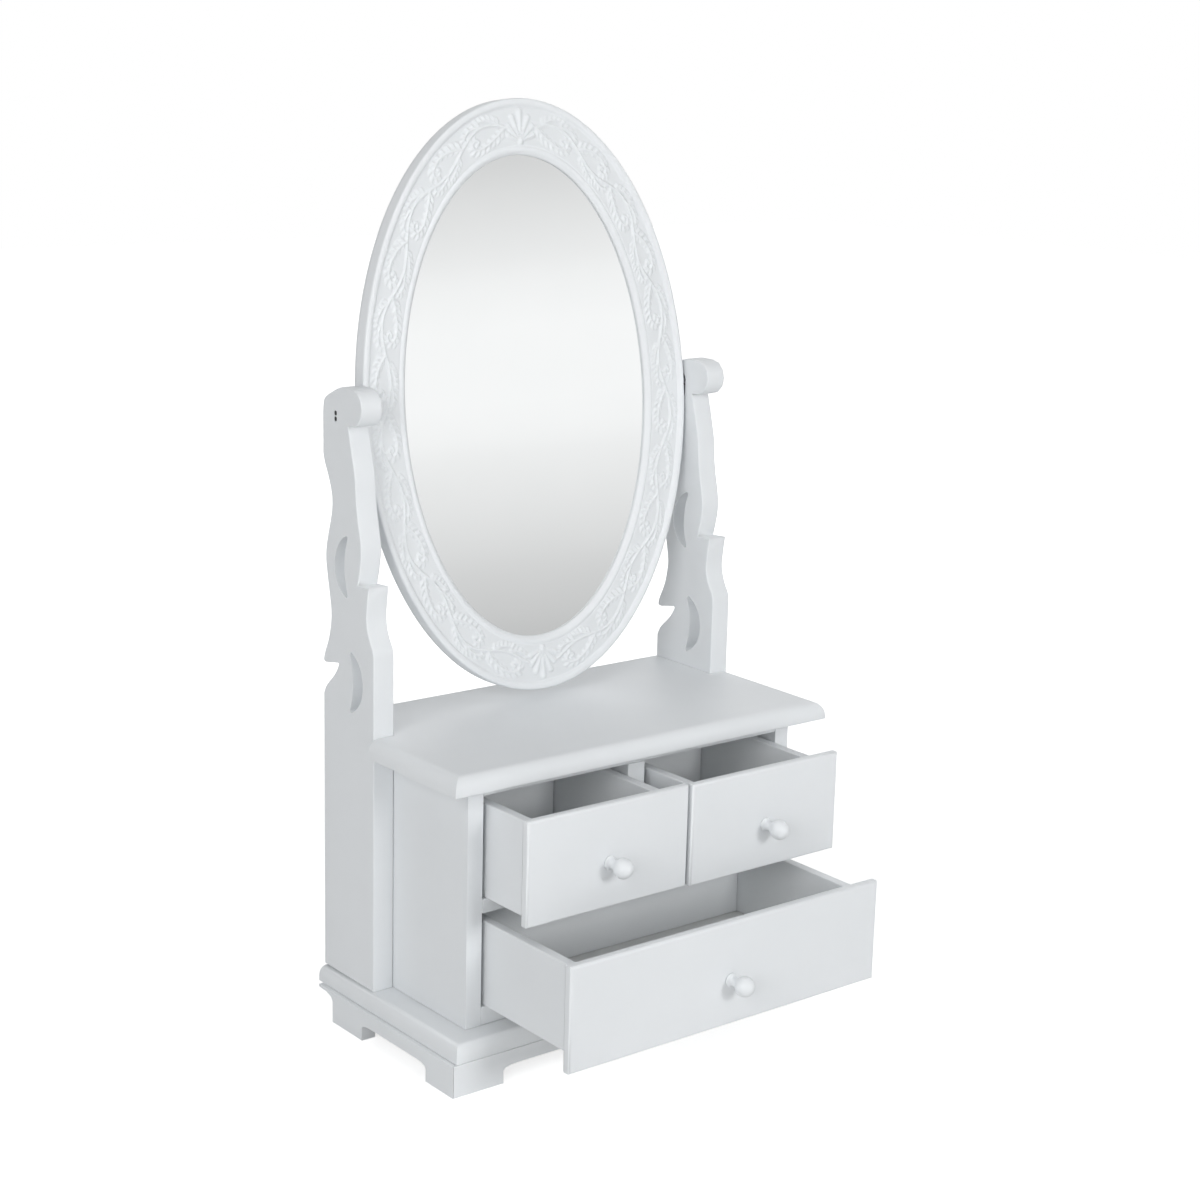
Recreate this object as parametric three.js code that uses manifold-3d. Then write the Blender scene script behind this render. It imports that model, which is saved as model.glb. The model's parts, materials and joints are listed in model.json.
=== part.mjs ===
import * as THREE from 'three';
import { mergeVertices } from 'three/addons/utils/BufferGeometryUtils.js';
import Module from 'manifold-3d';

// A table-top dressing table: bracket feet, a carcass with two small drawers
// over a large one, two shaped posts, and an oval mirror that tilts between them.
// Millimetres. X runs to the right, Y to the rear and Z up. The origin is on the
// floor under the middle of the carcass. The drawers stand open and the mirror
// leans back, as the object is shown.

// Fits
const seatGap = 0.3;
const pivotGap = 0.1;
const cutOverrun = 1;

// Plinth: a mitred frame of bracket feet under a base board
const footHeight = 28;
const footThickness = 14;
const footProudFront = 1;
const footProudSide = 4;
const footEdge = 0.6;
const frontFootWidth = 50.5;
const sideFootWidth = 40;
const rearFootWidth = 47;
const rearFootSetback = 28;
const rearFootCove = 9;
const rearFootCoveReach = 22;
const rearFootCoveLip = 2.6;
const archHeight = 15;
const archRiser = 11;
const archEase = 14;
const rearRailThickness = 12;
const rearRailHeight = 20;
const rearRailInset = 7;
const cornerBlockLeg = 22;
const cornerBlockHeight = 26;
const baseThickness = 16;
const baseOverhangFront = 23;
const baseOverhangSide = 24.5;
const baseOverhangRear = 2.5;
const baseNose = 6;

// Edge of the base board: each pair is a share of the nose, inwards, and a share
// of the board's thickness, upwards
const baseNoseShares = [
  [0, 0], [0, 0.26], [0.03, 0.45], [0.14, 0.65], [0.36, 0.83], [0.66, 0.95], [1, 1],
];

// Carcass
const carcassWidth = 347;
const carcassDepth = 185;
const sideThickness = 15;
const bottomThickness = 16;
const shelfThickness = 12;
const dividerThickness = 18;
const backThickness = 3;
const backRebate = 6;
const shelfHousing = 5;
const housingStop = 12;
const lowerBayHeight = 82;
const upperBayHeight = 88.5;
const topRailHeight = 10;
const topRailDepth = 40;

// Top board
const topThickness = 16;
const topOverhangFront = 20;
const topOverhangSide = 26;
const topNose = 11;

// Edge of the top board, in the same shares: a flat strip under a quarter round
const topNoseShares = [
  [0.09, 0], [0.02, 0.02], [0, 0.07], [0, 0.2], [0.034, 0.407], [0.134, 0.6], [0.293, 0.766], [0.5, 0.893],
  [0.741, 0.973], [1, 1],
];

// Posts: straight beside the carcass, shaped above it, with a rounded head
const postThickness = 20;
const postDepth = 78;
const postStraight = 289;
const postShaped = 190;
const postEdge = 1.2;
const noseRadius = 15.6;
const noseInset = 33.5;
const crescentLength = 55;
const crescentBulge = 21.5;
const crescentHollow = 6.5;
const crescentTip = 2;

// Post outline: each pair is a share of the depth, inwards from the front or the
// rear edge, and a share of the shaped height, upwards from the straight edge
const frontHollowShares = [
  [0.013, 0.046], [0.077, 0.09], [0.128, 0.143], [0.14, 0.2], [0.12, 0.272], [0.103, 0.322],
];
const frontStepShare = [0.317, 0.316];
const bellyShares = [
  [0.276, 0.38], [0.244, 0.462], [0.263, 0.525], [0.31, 0.609], [0.346, 0.693], [0.363, 0.783],
  [0.414, 0.867], [0.464, 0.943], [0.506, 1],
];
const rearWaveShares = [
  [0.035, 0.814], [0.094, 0.767], [0.153, 0.709], [0.179, 0.656], [0.158, 0.588], [0.083, 0.486],
  [0.049, 0.404], [0.077, 0.319], [0.135, 0.207], [0.153, 0.135], [0.108, 0.04], [0.024, -0.036],
  [0, -0.068], [0.012, -0.081], [0.046, -0.084],
];
const rearStraightShare = [0, 0.856];
const earUndersideShare = [0.272, -0.066];
const rearScoopShares = [[0.299, -0.073], [0.218, -0.123], [0.058, -0.186], [0, -0.228]];
const lowerCrescentShares = [0.487, -0.129];
const upperCrescentShares = [0.49, 0.382];

// Back of the post's head: shares of the depth and of the head's height
const crownStartShare = [0.378, 1];
const crownShares = [[0.256, 0.907], [0.078, 0.689], [0.018, 0.535], [0, 0.247]];

// Screws that hold the posts to the carcass sides, from inside the drawer bays
const postScrewRadius = 2;
const postScrewHeadRadius = 4;
const postScrewHeadHeight = 2.6;
const postScrewRecess = 0.4;
const postScrewReach = 11;
const postScrewInset = 39;
const lowerScrewHeight = 50;
const upperScrewHeight = 160;

// Pivots of the mirror: a plate with a pin, let into the inner face of each post
const pivotRise = 6.2;
const pivotInset = 22.7;
const pivotPlateThickness = 3;
const pivotPlateWidth = 12;
const pivotPlateHeight = 24;
const pivotPinRadius = 2;
const pivotPinReach = 14;
const pivotScrewRadius = 1.1;
const pivotScrewHeadRadius = 2;
const pivotScrewHeadHeight = 1.2;
const pivotScrewRecess = 0.4;
const pivotScrewGrip = 2;
const pivotScrewSetback = 2.7;
const pivotScrewSpacing = 4.8;
const socketWall = 0.9;
const socketLength = 15;
const socketFlangeRadius = 5;
const socketFlangeThickness = 1;

// Mirror
const mirrorToTop = 5.8;
const mirrorSideGap = 1.8;
const mirrorThickness = 14.5;
const mirrorAxisDepth = 7;
const bandSide = 43.2;
const bandEnd = 47.3;
const glassThickness = 4;
const glassMargin = 0.6;
const backingThickness = 3;
const leanDegrees = 5.9;

// Frame section: each pair is a share of the band, from the rim to the sight
// edge, and a share of the thickness, from the back to the front
const frameSectionShares = [
  [0, 0.04], [0, 0.86], [0.02, 0.96], [0.06, 1], [0.13, 0.98], [0.17, 0.88], [0.36, 0.9], [0.58, 0.92],
  [0.78, 0.86], [0.84, 0.81], [0.88, 0.88], [0.93, 0.85], [1, 0.68], [1, 0.55], [0.86, 0.55], [0.86, 0],
  [0.01, 0],
];

// Turn clips that hold the backing board
const clipLength = 18;
const clipWidth = 9;
const clipThickness = 1;
const clipTail = 4.5;
const clipScrewRadius = 1.2;
const clipScrewDepth = 6;
const clipHeadRadius = 2.8;
const clipHeadHeight = 1.6;
const clipSeatShare = 0.72;
const clipAngles = { upper_right: 50, upper_left: 130, lower_left: 230, lower_right: 310 };

// Drawers
const frontThickness = 9;
const frontEdge = 2;
const frontSideLap = 7;
const frontMiddleGap = 3;
const lowerFrontLap = 8.5;
const upperFrontLap = 0.5;
const frontTopGap = 1;
const boxSideGap = 4.5;
const boxRearGap = 31;
const boxWall = 9;
const wallDrop = 7;
const panelThickness = 3.5;
const panelRise = 4;
const panelHousing = 4;
const leftOpening = 61;
const rightOpening = 63;
const lowerOpening = 119;

// Knobs
const knobRadius = 8.5;
const knobReach = 25.5;
const knobFootRadius = 6;
const knobFootHeight = 2;
const knobNeckRadius = 4;
const knobNeckStart = 4.5;
const knobDrop = 5.5;
const knobScrewRadius = 2;
const knobScrewDepth = 12;
const knobScrewHeadRadius = 3.8;
const knobScrewHeadHeight = 2.4;

// Smoothness of the round forms
const ovalSteps = 80;
const turnedSteps = 24;
const smallSteps = 16;
const arcSteps = 12;
const curveSteps = 3;
const edgeSteps = 2;

// Levels and planes that several pieces share
const baseTop = footHeight + baseThickness;
const bottomTop = baseTop + bottomThickness;
const shelfUnderside = bottomTop + lowerBayHeight;
const shelfTop = shelfUnderside + shelfThickness;
const upperBayTop = shelfTop + upperBayHeight;
const carcassTop = upperBayTop + topRailHeight;
const tableTop = carcassTop + topThickness;
const carcassFront = -carcassDepth / 2;
const carcassRear = carcassDepth / 2;
const carcassOuter = carcassWidth / 2;
const carcassInner = carcassOuter - sideThickness;
const carcassHeight = [baseTop + seatGap, carcassTop - seatGap];
const backFront = carcassRear - backThickness;
const baseFront = carcassFront - baseOverhangFront;
const baseRear = carcassRear + baseOverhangRear;
const baseSide = carcassOuter + baseOverhangSide;
const footFront = baseFront - footProudFront;
const footFrontInner = footFront + footThickness;
const footRear = baseRear - rearFootSetback;
const footOuter = baseSide + footProudSide;
const footInner = footOuter - footThickness;
const railRear = footRear - rearRailInset;
const railFront = railRear - rearRailThickness;
const postInner = carcassOuter + seatGap;
const postOuter = postInner + postThickness;
const postFront = carcassRear - postDepth;
const postFoot = baseTop + seatGap;
const postShoulder = postFoot + postStraight;
const postNeck = postShoulder + postShaped;
const pivotHeight = postNeck + pivotRise;
const pivotY = carcassRear - pivotInset;
const mirrorHalfWidth = postInner - mirrorSideGap;
const mirrorHalfHeight = pivotHeight - tableTop - mirrorToTop;
const mirrorBack = mirrorAxisDepth;
const frontShut = carcassFront - seatGap;
const sides = { left: -1, right: 1 };
const outward = (side) => new THREE.Vector3(side, 0, 0);
const inward = (side) => new THREE.Vector3(-side, 0, 0);
const forward = new THREE.Vector3(0, -1, 0);
const rearward = new THREE.Vector3(0, 1, 0);

const library = await Module();
library.setup();

const paint = new THREE.MeshStandardMaterial({ color: 0xdfe3e6, roughness: 0.45, flatShading: true });
const board = new THREE.MeshStandardMaterial({ color: 0xcfc8ba, roughness: 0.8, flatShading: true });
const steel = new THREE.MeshStandardMaterial({
  color: 0x9a9da0, roughness: 0.35, metalness: 1, flatShading: true,
});
const silvering = new THREE.MeshStandardMaterial({
  color: 0xe6eaec, roughness: 0.03, metalness: 1, flatShading: true,
});

function piece(name, geometry, material) {
  const mesh = new THREE.Mesh(geometry, material);
  mesh.name = name;
  return mesh;
}

// A closed solid from a geometry, without its seams and its triangles of no area
function solidOf(geometry) {
  const bare = geometry.clone();
  bare.deleteAttribute('normal');
  bare.deleteAttribute('uv');
  const merged = mergeVertices(bare);
  const corners = merged.index.array;
  const kept = [];
  for (let i = 0; i < corners.length; i += 3) {
    const [a, b, c] = corners.subarray(i, i + 3);
    if (a !== b && b !== c && c !== a) kept.push(a, b, c);
  }
  const mesh = new library.Mesh({
    numProp: 3,
    vertProperties: merged.attributes.position.array,
    triVerts: Uint32Array.from(kept),
  });
  return new library.Manifold(mesh);
}

function geometryOf(solid) {
  const mesh = solid.getMesh();
  const geometry = new THREE.BufferGeometry();
  geometry.setAttribute('position', new THREE.BufferAttribute(mesh.vertProperties, 3));
  geometry.setIndex(new THREE.BufferAttribute(mesh.triVerts, 1));
  return geometry;
}

function cut(geometry, ...tools) {
  let solid = solidOf(geometry);
  for (const tool of tools) solid = solid.subtract(solidOf(tool));
  return geometryOf(solid);
}

function joined(geometry, ...others) {
  let solid = solidOf(geometry);
  for (const other of others) solid = solid.add(solidOf(other));
  return geometryOf(solid);
}

// A block between two limits on each axis
function block(x, y, z) {
  const geometry = new THREE.BoxGeometry(x[1] - x[0], y[1] - y[0], z[1] - z[0]);
  geometry.translate((x[0] + x[1]) / 2, (y[0] + y[1]) / 2, (z[0] + z[1]) / 2);
  return geometry;
}

// The two limits of a piece on one side: mirrored for the left one
function mirrored(side, near, far) {
  return side < 0 ? [-far, -near] : [near, far];
}

function polygon(points) {
  return new THREE.Shape(points.map(([u, v]) => new THREE.Vector2(u, v)));
}

function rectangle(u, v) {
  return polygon([[u[0], v[0]], [u[1], v[0]], [u[1], v[1]], [u[0], v[1]]]);
}

function oval(u, v) {
  const points = [];
  for (let i = 0; i < ovalSteps; i += 1) {
    const angle = (i / ovalSteps) * 2 * Math.PI;
    points.push([u * Math.cos(angle), v * Math.sin(angle)]);
  }
  return polygon(points);
}

// An outline given a thickness, with its edges eased by a radius where there is one
function slab(outline, thickness, edge, steps) {
  const geometry = new THREE.ExtrudeGeometry(outline, {
    depth: thickness - 2 * edge,
    bevelEnabled: edge > 0,
    bevelThickness: edge,
    bevelSize: edge,
    bevelOffset: -edge,
    bevelSegments: steps,
    curveSegments: curveSteps,
  });
  return geometry.translate(0, 0, edge);
}

// Slabs with their outline in plan, from the side and from the front
function levelSlab(outline, z, edge = 0, steps = edgeSteps) {
  return slab(outline, z[1] - z[0], edge, steps).translate(0, 0, z[0]);
}

function sideSlab(outline, x, edge = 0, steps = edgeSteps) {
  const turn = new THREE.Matrix4().makeBasis(rearward, new THREE.Vector3(0, 0, 1), outward(1));
  return slab(outline, x[1] - x[0], edge, steps).applyMatrix4(turn).translate(x[0], 0, 0);
}

function frontSlab(outline, y, edge = 0, steps = edgeSteps) {
  const turn = new THREE.Matrix4().makeBasis(outward(1), new THREE.Vector3(0, 0, 1), forward);
  return slab(outline, y[1] - y[0], edge, steps).applyMatrix4(turn).translate(0, y[1], 0);
}

// A turned piece: pairs of radius and place along an axis that points the given way
function turned(profile, direction, start, steps = turnedSteps) {
  const points = profile.map(([radius, along]) => new THREE.Vector2(radius, along));
  const turn = new THREE.Quaternion().setFromUnitVectors(rearward, direction);
  return new THREE.LatheGeometry(points, steps).applyQuaternion(turn).translate(...start);
}

function rod(radius, direction, start, length) {
  return turned([[0, 0], [radius, 0], [radius, length], [0, length]], direction, start, smallSteps);
}

// A countersunk screw from its head inwards, or its hole where there is a gap
function countersunk(radius, head, headHeight, length, direction, start, gap = 0) {
  const profile = [
    [0, -gap], [head + gap, -gap], [head + gap, 0], [radius + gap, headHeight], [radius + gap, length + gap],
    [0, length + gap],
  ];
  return turned(profile, direction, start, smallSteps);
}

function archedApron(start, end, arch, top) {
  const shape = new THREE.Shape();
  shape.moveTo(start, 0);
  shape.lineTo(arch[0], 0);
  shape.lineTo(arch[0], archRiser);
  shape.quadraticCurveTo(arch[0], archHeight, arch[0] + archEase, archHeight);
  shape.lineTo(arch[1] - archEase, archHeight);
  shape.quadraticCurveTo(arch[1], archHeight, arch[1], archRiser);
  shape.lineTo(arch[1], 0);
  shape.lineTo(end, 0);
  return shape;
}

// The mitre line at a front corner, run on past both faces of the boards
function mitre(side, shift) {
  return [
    [side * (footOuter + cutOverrun - shift), footFront - cutOverrun],
    [side * (footInner - cutOverrun - shift), footFrontInner + cutOverrun],
  ];
}

function makeFrontApron() {
  const archEnd = footOuter - frontFootWidth;
  const shape = archedApron(-footOuter, footOuter, [-archEnd, archEnd]);
  shape.lineTo(footOuter, footHeight);
  shape.lineTo(-footOuter, footHeight);
  const body = frontSlab(shape, [footFront, footFrontInner], footEdge);
  const tools = Object.values(sides).map((side) => {
    const waste = [side * (footOuter + cutOverrun), footFrontInner + cutOverrun];
    const line = mitre(side, seatGap * Math.SQRT2);
    return levelSlab(polygon([...line, waste]), [-cutOverrun, footHeight + cutOverrun]);
  });
  return piece('front_apron', cut(body, ...tools), paint);
}

function makeSideApron(name, side) {
  const shape = archedApron(footFront, footRear, [footFront + sideFootWidth, footRear - rearFootWidth]);
  const coveFoot = footHeight - rearFootCove;
  shape.lineTo(footRear, coveFoot);
  const coveTop = footHeight - rearFootCoveLip;
  const coveEnd = footRear + rearFootCoveReach;
  shape.quadraticCurveTo(footRear, coveTop, coveEnd, coveTop);
  shape.lineTo(coveEnd, footHeight);
  shape.lineTo(footFront, footHeight);
  const body = sideSlab(shape, mirrored(side, footInner, footOuter), footEdge);
  const waste = [side * (footInner - cutOverrun), footFront - cutOverrun];
  const tool = levelSlab(polygon([...mitre(side, 0), waste]), [-cutOverrun, footHeight + cutOverrun]);
  return piece(`apron_${name}`, cut(body, tool), paint);
}

function makeRearRail() {
  const end = footInner - seatGap;
  const height = [footHeight - rearRailHeight, footHeight];
  return piece('rear_rail', block([-end, end], [railFront, railRear], height), board);
}

// Triangular glue blocks in the four inner corners of the plinth
function makeCornerBlocks() {
  const blocks = [];
  const corner = footInner - seatGap;
  const rows = { front: [footFrontInner + seatGap, 1], rear: [railFront - seatGap, -1] };
  for (const [row, [y, way]] of Object.entries(rows)) {
    for (const [name, side] of Object.entries(sides)) {
      const shape = polygon([
        [side * corner, y], [side * (corner - cornerBlockLeg), y], [side * corner, y + way * cornerBlockLeg],
      ]);
      const body = levelSlab(shape, [footHeight - cornerBlockHeight, footHeight]);
      blocks.push(piece(`corner_block_${row}_${name}`, body, board));
    }
  }
  return blocks;
}

// A board with shaped edges: one ring of corners for each pair of the edge's shares
function edgedBoard(side, y, z, shares, nose, rearNose) {
  const places = [];
  const faces = [];
  for (const [inset, rise] of shares) {
    const end = side - nose * inset;
    const near = y[0] + nose * inset;
    const far = y[1] - rearNose * inset;
    const height = z[0] + (z[1] - z[0]) * rise;
    places.push(-end, near, height, end, near, height, end, far, height, -end, far, height);
  }
  const top = 4 * (shares.length - 1);
  for (let ring = 0; ring < top; ring += 4) {
    for (let i = 0; i < 4; i += 1) {
      const next = (i + 1) % 4;
      faces.push(ring + i, ring + next, ring + next + 4, ring + i, ring + next + 4, ring + i + 4);
    }
  }
  faces.push(0, 2, 1, 0, 3, 2, top, top + 1, top + 2, top, top + 2, top + 3);
  const geometry = new THREE.BufferGeometry();
  geometry.setAttribute('position', new THREE.Float32BufferAttribute(places, 3));
  geometry.setIndex(faces);
  return geometry;
}

// The base board has its nose all round
function makeBaseBoard() {
  const z = [footHeight + seatGap, baseTop];
  const body = edgedBoard(baseSide, [baseFront, baseRear], z, baseNoseShares, baseNose, baseNose);
  return piece('base_board', body, paint);
}

function postScrewPlaces() {
  return { lower: baseTop + lowerScrewHeight, upper: baseTop + upperScrewHeight };
}

function postScrew(side, height, gap) {
  const start = [side * (carcassInner + postScrewRecess), postFront + postScrewInset, height];
  const length = sideThickness - postScrewRecess + postScrewReach;
  const head = [postScrewHeadRadius, postScrewHeadHeight];
  return countersunk(postScrewRadius, ...head, length, outward(side), start, gap);
}

function makeSidePanel(name, side) {
  const body = block(mirrored(side, carcassInner, carcassOuter), [carcassFront, carcassRear], carcassHeight);
  const housing = block(
    mirrored(side, carcassInner - cutOverrun, carcassInner + shelfHousing),
    [carcassFront + housingStop, carcassRear + cutOverrun],
    [shelfUnderside - seatGap, shelfTop + seatGap],
  );
  const rebate = block(
    mirrored(side, carcassInner - cutOverrun, carcassInner + backRebate),
    [backFront - seatGap, carcassRear + cutOverrun],
    [baseTop - cutOverrun, carcassTop + cutOverrun],
  );
  const holes = Object.values(postScrewPlaces()).map((height) => postScrew(side, height, seatGap));
  const mouths = holes.map((hole) => hole.clone().translate(-side * postScrewRecess, 0, 0));
  return piece(`side_${name}`, cut(body, housing, rebate, ...holes, ...mouths), paint);
}

function makeBottomPanel() {
  const x = carcassInner - seatGap;
  const body = block([-x, x], [carcassFront, backFront - seatGap], [baseTop + seatGap, bottomTop]);
  return piece('bottom_panel', body, paint);
}

function makeShelf() {
  const near = carcassInner - seatGap;
  const far = near + shelfHousing;
  const step = carcassFront + housingStop + seatGap;
  const rear = backFront - seatGap;
  const shape = polygon([
    [-near, carcassFront], [near, carcassFront], [near, step], [far, step], [far, rear], [-far, rear],
    [-far, step], [-near, step],
  ]);
  return piece('shelf', levelSlab(shape, [shelfUnderside, shelfTop]), paint);
}

function makeDivider() {
  const railEnd = carcassFront + topRailDepth + seatGap;
  const rear = backFront - seatGap;
  const shape = polygon([
    [carcassFront, shelfTop + seatGap], [rear, shelfTop + seatGap], [rear, carcassTop - seatGap],
    [railEnd, carcassTop - seatGap], [railEnd, upperBayTop - seatGap], [carcassFront, upperBayTop - seatGap],
  ]);
  return piece('divider', sideSlab(shape, [-dividerThickness / 2, dividerThickness / 2]), paint);
}

function makeTopRail() {
  const x = carcassInner - seatGap;
  const y = [carcassFront, carcassFront + topRailDepth];
  return piece('top_rail', block([-x, x], y, [upperBayTop, carcassTop - seatGap]), paint);
}

function makeBackPanel() {
  const x = carcassInner + backRebate - seatGap;
  return piece('back_panel', block([-x, x], [backFront, carcassRear], carcassHeight), board);
}

// The top board is plain at the rear and has a notch in each rear corner for a post
function makeTopBoard() {
  const end = carcassOuter + topOverhangSide;
  const y = [carcassFront - topOverhangFront, carcassRear];
  const z = [carcassTop, tableTop];
  const body = edgedBoard(end, y, z, topNoseShares, topNose, 0);
  const notches = Object.values(sides).map((side) => block(
    mirrored(side, carcassOuter, end + cutOverrun),
    [postFront - seatGap, carcassRear + cutOverrun],
    [carcassTop - cutOverrun, tableTop + cutOverrun],
  ));
  return piece('top_board', cut(body, ...notches), paint);
}

function makeCarcass() {
  const group = new THREE.Group();
  for (const [name, side] of Object.entries(sides)) group.add(makeSidePanel(name, side));
  group.add(makeBottomPanel(), makeShelf(), makeDivider(), makeTopRail(), makeBackPanel(), makeTopBoard());
  return group;
}

// Outline places given as shares, from the front edge and from the rear edge
function fromFront([depth, height]) {
  return new THREE.Vector2(postFront + postDepth * depth, postShoulder + postShaped * height);
}

function fromRear([depth, height]) {
  return new THREE.Vector2(carcassRear - postDepth * depth, postShoulder + postShaped * height);
}

function onHead([depth, height]) {
  return new THREE.Vector2(carcassRear - postDepth * depth, postNeck + 2 * noseRadius * height);
}

function postOutline() {
  const shape = new THREE.Shape();
  const noseY = postFront + noseInset;
  shape.moveTo(carcassRear, postFoot);
  shape.lineTo(postFront, postFoot);
  shape.lineTo(postFront, postShoulder);
  shape.splineThru(frontHollowShares.map(fromFront));
  shape.lineTo(...fromFront(frontStepShare));
  shape.splineThru(bellyShares.map(fromFront));
  shape.lineTo(noseY, postNeck);
  shape.absarc(noseY, postNeck + noseRadius, noseRadius, -Math.PI / 2, Math.PI / 2, true);
  shape.lineTo(...onHead(crownStartShare));
  shape.splineThru(crownShares.map(onHead));
  shape.lineTo(...fromRear(rearStraightShare));
  shape.splineThru(rearWaveShares.map(fromRear));
  shape.lineTo(...fromRear(earUndersideShare));
  shape.splineThru(rearScoopShares.map(fromRear));
  return shape;
}

function arc(x, y, radius, from, to) {
  const points = [];
  for (let i = 0; i <= arcSteps; i += 1) {
    const angle = from + (to - from) * i / arcSteps;
    points.push([x + radius * Math.cos(angle), y + radius * Math.sin(angle)]);
  }
  return points;
}

// A crescent: a full arc and a flat one, joined by a small arc at each tip that
// touches both of them
function crescent(centre, way, x) {
  const half = crescentLength / 2;
  const full = (half ** 2 + crescentBulge ** 2) / (2 * crescentBulge);
  const flat = (half ** 2 + crescentHollow ** 2) / (2 * crescentHollow);
  const fullMiddle = crescentBulge - full;
  const flatMiddle = crescentHollow - flat;
  const within = full - crescentTip;
  const beyond = flat + crescentTip;
  const spread = fullMiddle ** 2 - flatMiddle ** 2 - within ** 2 + beyond ** 2;
  const tipX = spread / (2 * (fullMiddle - flatMiddle));
  const tipY = Math.sqrt(within ** 2 - (tipX - fullMiddle) ** 2);
  const fullEnd = Math.atan2(tipY, tipX - fullMiddle);
  const flatEnd = Math.atan2(tipY, tipX - flatMiddle);
  const outline = [
    arc(fullMiddle, 0, full, -fullEnd, fullEnd),
    arc(tipX, tipY, crescentTip, fullEnd, Math.PI + flatEnd),
    arc(flatMiddle, 0, flat, flatEnd, -flatEnd),
    arc(tipX, -tipY, crescentTip, -Math.PI - flatEnd, -fullEnd),
  ].flatMap((points) => points.slice(0, -1));
  const shape = polygon(outline.map(([u, v]) => [centre.x + way * u, centre.y + v]));
  return sideSlab(shape, [x[0] - cutOverrun, x[1] + cutOverrun]);
}

function plateOutline(width, height, y, z) {
  const radius = width / 2;
  const shape = new THREE.Shape();
  const straight = height / 2 - radius;
  shape.absarc(y, z + straight, radius, 0, Math.PI, false);
  shape.absarc(y, z - straight, radius, Math.PI, 2 * Math.PI, false);
  return shape;
}

function pivotScrewPlaces() {
  return { upper: pivotHeight + pivotScrewSpacing / 2, lower: pivotHeight - pivotScrewSpacing / 2 };
}

function pivotScrew(side, height, gap) {
  const start = [side * (postOuter - pivotScrewRecess), pivotY + pivotScrewSetback, height];
  const length = postThickness - pivotScrewRecess - pivotPlateThickness + pivotScrewGrip;
  const head = [pivotScrewHeadRadius, pivotScrewHeadHeight];
  return countersunk(pivotScrewRadius, ...head, length, inward(side), start, gap);
}

function makePost(name, side) {
  const x = mirrored(side, postInner, postOuter);
  const mortise = sideSlab(
    plateOutline(pivotPlateWidth + 2 * seatGap, pivotPlateHeight + 2 * seatGap, pivotY, pivotHeight),
    mirrored(side, postInner - cutOverrun, postInner + pivotPlateThickness + seatGap),
  );
  const pivotHoles = Object.values(pivotScrewPlaces()).map((height) => pivotScrew(side, height, seatGap));
  const mouths = pivotHoles.map((hole) => hole.clone().translate(side * pivotScrewRecess, 0, 0));
  const screwHoles = Object.values(postScrewPlaces()).map((height) => postScrew(side, height, seatGap));
  const body = cut(
    sideSlab(postOutline(), x, postEdge),
    crescent(fromFront(lowerCrescentShares), -1, x),
    crescent(fromFront(upperCrescentShares), 1, x),
    mortise,
    ...pivotHoles,
    ...mouths,
    ...screwHoles,
  );
  return piece(`post_${name}`, body, paint);
}

function makePivotPlate(name, side) {
  const x = mirrored(side, postInner, postInner + pivotPlateThickness);
  const plate = sideSlab(plateOutline(pivotPlateWidth, pivotPlateHeight, pivotY, pivotHeight), x);
  const root = pivotPlateThickness / 2;
  const pin = rod(
    pivotPinRadius, inward(side), [side * (postInner + root), pivotY, pivotHeight],
    root + mirrorSideGap + pivotPinReach,
  );
  const holes = Object.values(pivotScrewPlaces()).map((height) => pivotScrew(side, height, seatGap));
  return piece(`pivot_plate_${name}`, cut(joined(plate, pin), ...holes), steel);
}

function makePosts() {
  const group = new THREE.Group();
  for (const [name, side] of Object.entries(sides)) {
    group.add(makePost(name, side), makePivotPlate(name, side));
    for (const [level, height] of Object.entries(postScrewPlaces())) {
      group.add(piece(`post_screw_${level}_${name}`, postScrew(side, height, 0), steel));
    }
    for (const [level, height] of Object.entries(pivotScrewPlaces())) {
      group.add(piece(`pivot_screw_${level}_${name}`, pivotScrew(side, height, 0), steel));
    }
  }
  return group;
}

function rebateDepth() {
  return mirrorThickness * frameSectionShares.at(-3)[1];
}

// The frame is its section carried round an oval, with bands that widen to the ends
function frameRing() {
  const places = [];
  const faces = [];
  const count = frameSectionShares.length;
  for (let i = 0; i < ovalSteps; i += 1) {
    const angle = (i / ovalSteps) * 2 * Math.PI;
    for (const [inset, rise] of frameSectionShares) {
      const x = (mirrorHalfWidth - bandSide * inset) * Math.cos(angle);
      const z = (mirrorHalfHeight - bandEnd * inset) * Math.sin(angle);
      places.push(x, mirrorBack - mirrorThickness * rise, z);
    }
    for (let j = 0; j < count; j += 1) {
      const here = i * count;
      const ahead = ((i + 1) % ovalSteps) * count;
      const next = (j + 1) % count;
      faces.push(here + j, ahead + j, ahead + next, here + j, ahead + next, here + next);
    }
  }
  const geometry = new THREE.BufferGeometry();
  geometry.setAttribute('position', new THREE.Float32BufferAttribute(places, 3));
  geometry.setIndex(faces);
  return geometry;
}

function clipSeat(degrees) {
  const angle = THREE.MathUtils.degToRad(degrees);
  const x = (mirrorHalfWidth - bandSide * clipSeatShare) * Math.cos(angle);
  const z = (mirrorHalfHeight - bandEnd * clipSeatShare) * Math.sin(angle);
  return [x, mirrorBack, z];
}

function makeMirrorFrame() {
  const socketRadius = pivotPinRadius + pivotGap + socketWall + seatGap;
  const sockets = Object.values(sides).map((side) => {
    const start = [side * (mirrorHalfWidth + cutOverrun), 0, 0];
    return rod(socketRadius, inward(side), start, cutOverrun + socketLength + seatGap);
  });
  const holes = Object.values(clipAngles).map((degrees) => {
    const [x, y, z] = clipSeat(degrees);
    const length = cutOverrun + clipScrewDepth + seatGap;
    return rod(clipScrewRadius + seatGap, forward, [x, y + cutOverrun, z], length);
  });
  return piece('mirror_frame', cut(frameRing(), ...sockets, ...holes), paint);
}

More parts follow.
